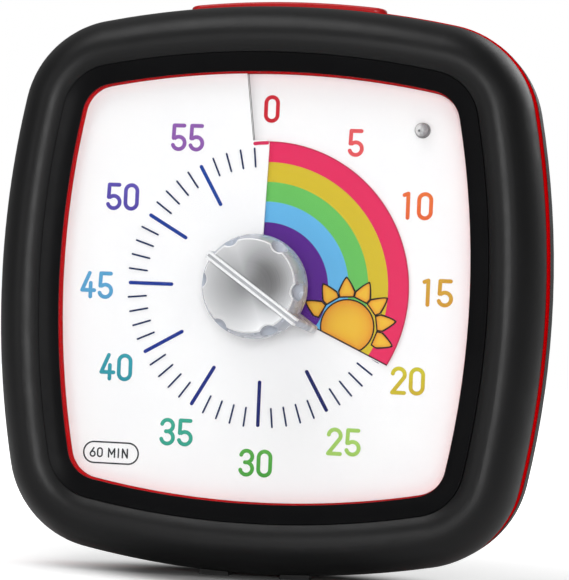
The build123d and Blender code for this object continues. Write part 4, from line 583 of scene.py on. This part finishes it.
# ---- film: five rings of colour about the dial's centre; by its leading edge a dark line and,
# ---- outside that, a bare white margin, both on the edge's own side of the axis only
RINGS = [
    (22.2, (88, 26, 142)), (29.2, (100, 182, 232)), (35.9, (104, 193, 92)),
    (42.6, (213, 187, 38)), (49.25, (228, 36, 92)), (60.0, (190, 18, 66)),
]
RING_BLEND = 0.05
LINE_INK = (24, 14, 12)
film = Finish("printed_film", Specular_IOR_Level=0.12)
from_middle = film.parts(film.place_from(0, DIAL_Y, DIAL_Z))
reach = film.reach(from_middle)
mixed = srgb(RINGS[0][1])
for (limit, _), (_, outer) in zip(RINGS[:-1], RINGS[1:]):
    share = film.spread(reach, 0, 1, (limit - RING_BLEND) * MM, (limit + RING_BLEND) * MM)
    mixed = film.blend(share, mixed, srgb(outer))
beside = film.along(from_middle, EDGE_ANGLE - 90)


def from_edge(width):
    """Distance from the axis to a line that runs inside the film's leading edge."""
    return (width - EDGE_OFFSET) * MM


margin = film.spread(beside, 1, 0, from_edge(0.3), from_edge(0.36))
outline = film.spread(beside, 1, 0, from_edge(0.72), from_edge(0.8))
near_edge = film.math("MULTIPLY",
                      film.math("GREATER_THAN", film.along(from_middle, EDGE_ANGLE), 0.0),
                      film.math("GREATER_THAN", beside, from_edge(-0.05)))
mixed = film.blend(film.math("MULTIPLY", outline, near_edge), mixed, srgb(LINE_INK))
mixed = film.blend(film.math("MULTIPLY", margin, near_edge), mixed, srgb((245, 240, 240)))
film.coloured(film.blend(film.spread(film.noise(700.0), 0, 0.006), mixed, srgb((255, 255, 255))))
film.rough(film.spread(film.noise(90.0), 0.34, 0.46))
film.relief(film.noise(900.0), 0.000004)
finishes["film"] = film

# ---- ink: colour from the piece's own attribute, slightly uneven as on a printed sheet
ink = Finish("printed_ink", Specular_IOR_Level=0.12)
stored = ink.node("Attribute", attribute_name="ink")
ink.coloured(ink.blend(ink.spread(ink.noise(900.0), 0, 0.008), stored.outputs["Color"],
                       srgb((255, 255, 255))))
ink.rough(ink.spread(ink.noise(300.0), 0.42, 0.56))
ink.relief(ink.noise(2500.0), 0.000004)
finishes["ink"] = ink

NODE_FINISH = {
    "front_bezel": "bezel", "window_ring": "ring", "lens": "lens", "mid_frame": "red",
    "dial_plate": "dial", "time_disc": "film", "disc_hub": "natural", "knob_body": "knob",
    "knob_cap": "cap", "knob_shaft": "steel", "clutch_spring": "brass", "retaining_clip": "steel",
    "movement_base": "natural", "movement_cover": "natural", "shaft_bushing": "brass",
    "centre_wheel": "natural", "third_wheel": "natural", "fourth_wheel": "natural",
    "rotor": "natural", "stator": "steel", "coil": "brass", "movement_screws": "steel",
    "rear_cover": "rear", "battery_door": "rear", "aa_cells": "wrap",
    "contact_plates": "plated", "contact_springs": "plated", "top_button": "button",
    "button_springs": "steel", "button_board": "board", "button_switch": "inner",
    "switch_plunger": "natural", "led": "lamp", "led_holder": "inner", "circuit_board": "board",
    "slide_switches": "steel", "volume_slider": "inner", "duration_slider": "inner",
    "sounder": "inner", "case_screws": "steel", "board_screws": "steel", "rubber_feet": "rubber",
}
for name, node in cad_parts.items():
    node.data.materials.clear()
    node.data.materials.append(finishes[NODE_FINISH[name]].material)

# ---------------------------------------------------------------- printed numerals and ticks
DIGIT_HEIGHT = 9.4
DIGIT_WIDTH = 5.4
DIGIT_STROKE = 1.33
DIGIT_STEP = 6.2
SIDE = (DIGIT_WIDTH - DIGIT_STROKE) / 2
TOP = (DIGIT_HEIGHT - DIGIT_STROKE) / 2


def digit(value):
    """Centre lines of a plain one-stroke digit, and whether each is closed."""
    if value == "0":
        high = TOP - SIDE
        return [(joined(arc(0, high, SIDE, 0, 180), arc(0, -high, SIDE, 180, 358)), True)]
    if value == "1":
        return [(line((0.45, TOP), (0.45, -TOP)), False),
                (line((-0.85, TOP - 0.5), (0.45, TOP)), False)]
    if value == "2":
        bowl = arc(0, TOP - SIDE, SIDE, 172, -28)
        return [(joined(bowl, line(bowl[-1], (-SIDE, -TOP))), False),
                (line((-SIDE, -TOP), (SIDE, -TOP)), False)]
    if value == "3":
        upper = joined(arc(0, TOP - 1.95, 1.95, 165, -75))
        lower = joined(arc(0, -TOP + 2.08, 2.08, 72, -165))
        return [(upper, False), (lower, False), (line((-0.5, 0.12), (0.6, 0.12)), False)]
    if value == "4":
        return [(line((0.45, TOP), (-SIDE, -TOP * 0.46)), False),
                (line((-SIDE, -TOP * 0.46), (SIDE + 0.25, -TOP * 0.46)), False),
                (line((0.95, 0.6), (0.95, -TOP)), False)]
    bowl = arc(0.0, -TOP + 2.12, 2.12, 128, -160)
    return [(line((SIDE - 0.25, TOP), (-SIDE + 0.35, TOP)), False),
            (line((-SIDE + 0.35, TOP), (-SIDE + 0.2, bowl[0, 1])), False), (bowl, False)]


NUMERALS = [
    ("0", 0.0, 60.67, (200, 10, 34), (208, 14, 40)),
    ("5", 29.39, 49.86, (226, 78, 84), (232, 92, 92)),
    ("10", 50.65, 29.28, (230, 98, 42), (234, 112, 48)),
    ("15", 58.6, 0.46, (208, 150, 38), (212, 166, 48)),
    ("20", 50.41, -29.27, (204, 176, 36), (206, 196, 44)),
    ("25", 29.6, -50.69, (158, 202, 90), (170, 212, 104)),
    ("30", -0.27, -59.31, (66, 160, 56), (88, 174, 66)),
    ("35", -28.23, -50.23, (44, 160, 136), (58, 172, 146)),
    ("40", -50.39, -29.07, (34, 144, 160), (48, 158, 172)),
    ("45", -58.43, -1.25, (78, 154, 202), (92, 168, 212)),
    ("50", -50.57, 29.27, (78, 64, 164), (92, 78, 176)),
    ("55", -28.52, 50.11, (134, 80, 164), (148, 94, 178)),
]
for text, x, z, low, high in NUMERALS:
    numeral = Print("numeral_" + text, "case", sheet_depth, finishes["ink"].material)
    for place, character in enumerate(text):
        middle_x = x + (place - (len(text) - 1) / 2) * DIGIT_STEP
        for path, closed in digit(character):
            numeral.stroke(path + (middle_x, z), DIGIT_STROKE, low, high, TOP, closed)
    numeral.build("dial_white")

MAJOR_TICK = (32.0, 46.5)
MAJOR_WIDTH = 1.22
MAJOR_INK = [(0, (12, 24, 100)), (120, (8, 14, 84)), (180, (8, 24, 106)), (240, (4, 42, 140)),
             (330, (4, 60, 154)), (360, (6, 64, 158))]
MINOR_TICK = (41.0, 47.2)
MINOR_WIDTH = 0.6
MINOR_INK = (2, 34, 84)
major_turns = [turn for turn, _ in MAJOR_INK]
major_ticks = Print("major_ticks", "case", sheet_depth, finishes["ink"].material)
minor_ticks = Print("minor_ticks", "case", sheet_depth, finishes["ink"].material)
for minute in range(60):
    angle = 6 * minute
    if minute % 5:
        minor_ticks.stroke(line(*(polar(angle, r) for r in MINOR_TICK)), MINOR_WIDTH, MINOR_INK)
    else:
        tone = [np.interp(angle, major_turns, [ink_of[k] for _, ink_of in MAJOR_INK])
                for k in range(3)]
        major_ticks.stroke(line(*(polar(angle, r) for r in MAJOR_TICK)), MAJOR_WIDTH, tone)
major_ticks.build("dial_white")
minor_ticks.build("dial_white")

# ---- outer ring of the film, seen in the notch where the film leaves the slit
NOTCH_RUN = (-5.75, 48.9), (-3.0, 48.95), (-0.75, 49.0)
notch_strip = Print("notch_strip", "case", front_layer_depth, finishes["ink"].material)
notch_strip.stroke(line(*(polar(*point) for point in NOTCH_RUN)), 1.2, (212, 34, 84))
notch_strip.build("dial_white")

# ---- plain note of the range in a rounded frame
FRAME_INK = (38, 40, 44)
FRAME_WIDTH = 0.52
PILL_LEFT, PILL_RIGHT, PILL_LOW, PILL_HIGH = -60.5, -41.2, -62.0, -54.85
pill_round = (PILL_HIGH - PILL_LOW) / 2
pill_middle = (PILL_HIGH + PILL_LOW) / 2
pill_left, pill_right = PILL_LEFT + pill_round, PILL_RIGHT - pill_round
range_note = Print("range_note", "case", sheet_depth, finishes["ink"].material)
range_note.stroke(
    joined(
        arc(pill_right, pill_middle, pill_round, -90, 90),
        line((pill_right, PILL_HIGH), (pill_left, PILL_HIGH)),
        arc(pill_left, pill_middle, pill_round, 90, 270),
        line((pill_left, PILL_LOW), (pill_right - 0.4, PILL_LOW)),
    ),
    FRAME_WIDTH, FRAME_INK, closed=True,
)
NOTE_TOP = 1.45
NOTE_SIDE = 0.8
NOTE_WIDTH = 0.5
NOTE_PLACES = (("6", -57.3), ("0", -54.75), ("M", -50.6), ("I", -48.2), ("N", -45.9))
note_strokes = {
    "6": [(joined(arc(0, -NOTE_TOP + 0.85, 0.85, 0, 358)), True),
          (line((0.35, NOTE_TOP), (-0.78, -0.3)), False)],
    "0": [(joined(arc(0, NOTE_TOP - NOTE_SIDE, NOTE_SIDE, 0, 180),
                  arc(0, -NOTE_TOP + NOTE_SIDE, NOTE_SIDE, 180, 356)), True)],
    "M": [(line((-1.05, -NOTE_TOP), (-1.05, NOTE_TOP)), False),
          (line((-1.05, NOTE_TOP), (0, -0.5)), False),
          (line((0, -0.5), (1.05, NOTE_TOP)), False),
          (line((1.05, NOTE_TOP), (1.05, -NOTE_TOP)), False)],
    "I": [(line((0, -NOTE_TOP), (0, NOTE_TOP)), False)],
    "N": [(line((-0.85, -NOTE_TOP), (-0.85, NOTE_TOP)), False),
          (line((-0.85, NOTE_TOP), (0.85, -NOTE_TOP)), False),
          (line((0.85, -NOTE_TOP), (0.85, NOTE_TOP)), False)],
}
for character, x in NOTE_PLACES:
    for path, closed in note_strokes[character]:
        range_note.stroke(path + (x, pill_middle), NOTE_WIDTH, FRAME_INK, closed=closed)
range_note.build("dial_white")

# ---------------------------------------------------------------- half sun printed on the film
SUN_ALONG = 31.6
SUN_ABOVE = 5.9
SUN_RADIUS = 8.8
SUN_POINTS = 180
SUN_MIDDLE_INK = (238, 188, 54)
SUN_RIM_INK = (226, 146, 38)
RAY_TURNS = (4, 33, 62, 90, 118, 147, 176)
RAY_BASE = 10.2
RAY_MIDDLE = 12.6
RAY_TIP = 16.2
RAY_FALL = 4.6
RAY_WIDTH = 2.5
RAY_FOOT_SHARE = 0.86
along = np.array(polar(EDGE_ANGLE, 1.0))
away = np.array([-along[1], along[0]])
sun_centre = along * SUN_ALONG + away * (SUN_ABOVE - EDGE_OFFSET)


def sun_outline(grow, margin):
    """Circle about the sun's centre, cut off straight a margin inside the film's edge."""
    turn = np.linspace(0, 2 * np.pi, SUN_POINTS, endpoint=False)
    down = np.maximum(-np.sin(turn), 1e-6)
    radius = np.minimum(SUN_RADIUS + grow, (SUN_ABOVE - margin) / down)
    flat = along * (radius * np.cos(turn))[:, None] + away * (radius * np.sin(turn))[:, None]
    return (sun_centre + flat)[::-1]


def ray_outline(angle, grow):
    """Rounded wedge that points away from the sun: its reach falls evenly to both sides."""
    turn = np.radians(angle)
    out = along * np.cos(turn) + away * np.sin(turn)
    side = -along * np.sin(turn) + away * np.cos(turn)
    share = np.linspace(-1, 1, 15)[:, None]
    tip = RAY_TIP + 1.4 * grow - (RAY_FALL + 0.6 * grow) * np.abs(share) ** 1.35
    base = np.full_like(share, RAY_BASE - grow)
    width = RAY_WIDTH + grow
    outer = sun_centre + out * tip + side * width * share
    inner = sun_centre + out * base[::-1] + side * width * RAY_FOOT_SHARE * share[::-1]
    return np.concatenate([outer, inner])[::-1]


def sun_colours(share):
    """Golden yellow at the middle, orange towards the rim."""
    share = np.clip(share[:, None], 0, 1) ** 3
    return srgb(SUN_MIDDLE_INK) * (1 - share) + srgb(SUN_RIM_INK) * share


def line_colours(share):
    """The one dark colour of the outline."""
    return np.repeat(srgb(LINE_INK)[None], len(share), 0)


sun_line = Print("sun_outline", "disc", film_depth, finishes["ink"].material, lift=0.06)
sun_face = Print("sun_face", "disc", film_depth, finishes["ink"].material, lift=0.15)
for piece, grow, margin, colours in (
    (sun_line, 0.5, 0.36, line_colours),
    (sun_face, 0.0, 0.85, sun_colours),
):
    piece.fan(*sun_centre, sun_outline(grow, margin), colours)
    for angle in RAY_TURNS:
        turn = np.radians(angle)
        ray_centre = sun_centre + RAY_MIDDLE * (along * np.cos(turn) + away * np.sin(turn))
        piece.fan(*ray_centre, ray_outline(angle, grow), colours, rings=4)
    piece.build("disc_film")

# ---------------------------------------------------------------- lamp insides
CUP_PROFILE = [(0.02, -1.2), (0.55, -1.25), (1.15, -2.0), (1.3, -2.0), (1.3, 0.4), (0.02, 0.4)]
DIE_PROFILE = [(0.02, -1.9), (0.42, -1.9), (0.45, -1.3), (0.02, -1.3)]
DIE_PLACE = (LAMP[0] - 0.7, LAMP[1] - 0.2)
turned("lamp_cup", CUP_PROFILE, LAMP, finishes["cup"].material, "case")
turned("lamp_die", DIE_PROFILE, DIE_PLACE, finishes["die"].material, "case",
       around=24)

# ---------------------------------------------------------------- studio
FLOOR_SIZE = 4.0
floor_points = np.array([(-1, -1, 0), (1, -1, 0), (1, 1, 0), (-1, 1, 0)], float) * FLOOR_SIZE
floor_finish = bpy.data.materials.new("studio_floor")
floor_finish.use_nodes = True
floor_tree = floor_finish.node_tree
floor_shader = floor_tree.nodes["Principled BSDF"]
floor_shader.inputs["Roughness"].default_value = 0.7
floor_shader.inputs["Specular IOR Level"].default_value = 0.2
floor_shader.inputs["Emission Color"].default_value = (1, 1, 1, 1)
floor_rays = floor_tree.nodes.new("ShaderNodeLightPath")
floor_place = floor_tree.nodes.new("ShaderNodeTexCoord")
floor_oval = floor_tree.nodes.new("ShaderNodeMapping")
floor_oval.inputs["Scale"].default_value = (1.35, 2.2, 1.0)
floor_tree.links.new(floor_place.outputs["Object"], floor_oval.inputs["Vector"])
floor_far = floor_tree.nodes.new("ShaderNodeVectorMath")
floor_far.operation = "LENGTH"
floor_tree.links.new(floor_oval.outputs["Vector"], floor_far.inputs[0])


def floor_fade(start, end, low, high):
    """Value that runs smoothly from low to high between two ovals round the object's middle."""
    made = floor_tree.nodes.new("ShaderNodeMapRange")
    made.interpolation_type = "SMOOTHSTEP"
    set_range(made, start, end, low, high)
    floor_tree.links.new(floor_far.outputs["Value"], made.inputs["Value"])
    return made.outputs["Result"]


# painted shadow: the floor's own colour is darker close under the case; towards the distance the
# camera sees it as white
floor_tree.links.new(floor_fade(0.045, 0.09, 0.35, 0.9), floor_shader.inputs["Base Color"])
floor_sum = floor_tree.nodes.new("ShaderNodeMath")
floor_tree.links.new(floor_fade(0.05, 0.115, 0.0, 0.5), floor_sum.inputs[0])
floor_tree.links.new(floor_fade(0.2, 0.7, 0.0, 0.5), floor_sum.inputs[1])
floor_glow = floor_tree.nodes.new("ShaderNodeMath")
floor_glow.operation = "MULTIPLY"
floor_tree.links.new(floor_rays.outputs["Is Camera Ray"], floor_glow.inputs[0])
floor_tree.links.new(floor_sum.outputs[0], floor_glow.inputs[1])
floor_tree.links.new(floor_glow.outputs[0], floor_shader.inputs["Emission Strength"])
floor = new_piece("studio_floor", floor_points, np.array([[0, 1, 2, 3]]), floor_finish, None)

# ---- world: white where the camera sees it, directly or through something clear
WORLD_LEVEL = 0.25
WORLD_SEEN = 1.0
world = bpy.data.worlds.new("studio")
bpy.context.scene.world = world
world.use_nodes = True
sky = world.node_tree
back = sky.nodes["Background"]
back.inputs["Color"].default_value = (1, 1, 1, 1)
rays = sky.nodes.new("ShaderNodeLightPath")
seen = sky.nodes.new("ShaderNodeMath")
seen.operation = "MAXIMUM"
sky.links.new(rays.outputs["Is Camera Ray"], seen.inputs[0])
sky.links.new(rays.outputs["Is Transmission Ray"], seen.inputs[1])
level = sky.nodes.new("ShaderNodeMapRange")
set_range(level, 0.0, 1.0, WORLD_LEVEL, WORLD_SEEN)
sky.links.new(seen.outputs[0], level.inputs["Value"])
sky.links.new(level.outputs["Result"], back.inputs["Strength"])


def softbox(name, place, target, size, power):
    """Rectangular lamp at a place that faces a target; the lamp's own -Z points at it."""
    data = bpy.data.lights.new(name, "AREA")
    data.shape = "RECTANGLE"
    data.size, data.size_y = size
    data.energy = power
    lamp = bpy.data.objects.new(name, data)
    bpy.context.scene.collection.objects.link(lamp)
    behind = np.array(place, float) - np.array(target, float)
    behind /= np.linalg.norm(behind)
    right = np.cross((0, 0, 1), behind)
    right /= np.linalg.norm(right)
    above = np.cross(behind, right)
    turn = np.eye(4)
    turn[:3, 0], turn[:3, 1], turn[:3, 2], turn[:3, 3] = right, above, behind, place
    lamp.matrix_world = Matrix(turn.tolist())


LIT_POINT = (0, 0, 0.1)
SOFTBOXES = (
    ("key", (-0.55, -0.7, 1.0), (0.5, 0.5), 1.2),
    ("left", (-0.85, -1.0, 0.15), (0.5, 0.9), 1.6),
    ("front", (0.22, -1.2, 0.18), (0.34, 0.44), 6.1),
    ("fill", (0.75, -1.0, 0.5), (0.6, 0.6), 1.2),
    ("top", (-0.25, -0.35, 1.25), (0.75, 0.75), 5.4),
    ("rear", (0.55, 1.1, 0.75), (0.7, 0.7), 3.4),
)
for name, place, size, power in SOFTBOXES:
    softbox(name, place, LIT_POINT, size, power)

# ---- camera: long lens, a little to the right of the dial and slightly rolled
CAMERA_PLACE = (0.17026, -0.79054, 0.08177)
YAW, CAMERA_PITCH, ROLL = np.radians([11.72, -1.14, 2.45])
level_way = np.array([np.cos(YAW), np.sin(YAW), 0])
ahead_way = np.array([-np.sin(YAW) * np.cos(CAMERA_PITCH), np.cos(YAW) * np.cos(CAMERA_PITCH),
                      -np.sin(CAMERA_PITCH)])
up_way = np.cross(level_way, ahead_way)
right_way = level_way * np.cos(ROLL) + up_way * np.sin(ROLL)
up_way = up_way * np.cos(ROLL) - level_way * np.sin(ROLL)
pose = np.eye(4)
pose[:3, 0], pose[:3, 1], pose[:3, 2], pose[:3, 3] = right_way, up_way, -ahead_way, CAMERA_PLACE
camera_data = bpy.data.cameras.new("camera")
camera_data.sensor_width = 36.0
camera_data.lens = 147.66
camera_data.clip_start = 0.01
camera_data.clip_end = 50.0
camera = bpy.data.objects.new("camera", camera_data)
bpy.context.scene.collection.objects.link(camera)
camera.matrix_world = Matrix(pose.tolist())
bpy.context.scene.camera = camera
bpy.context.scene.view_settings.view_transform = "Standard"
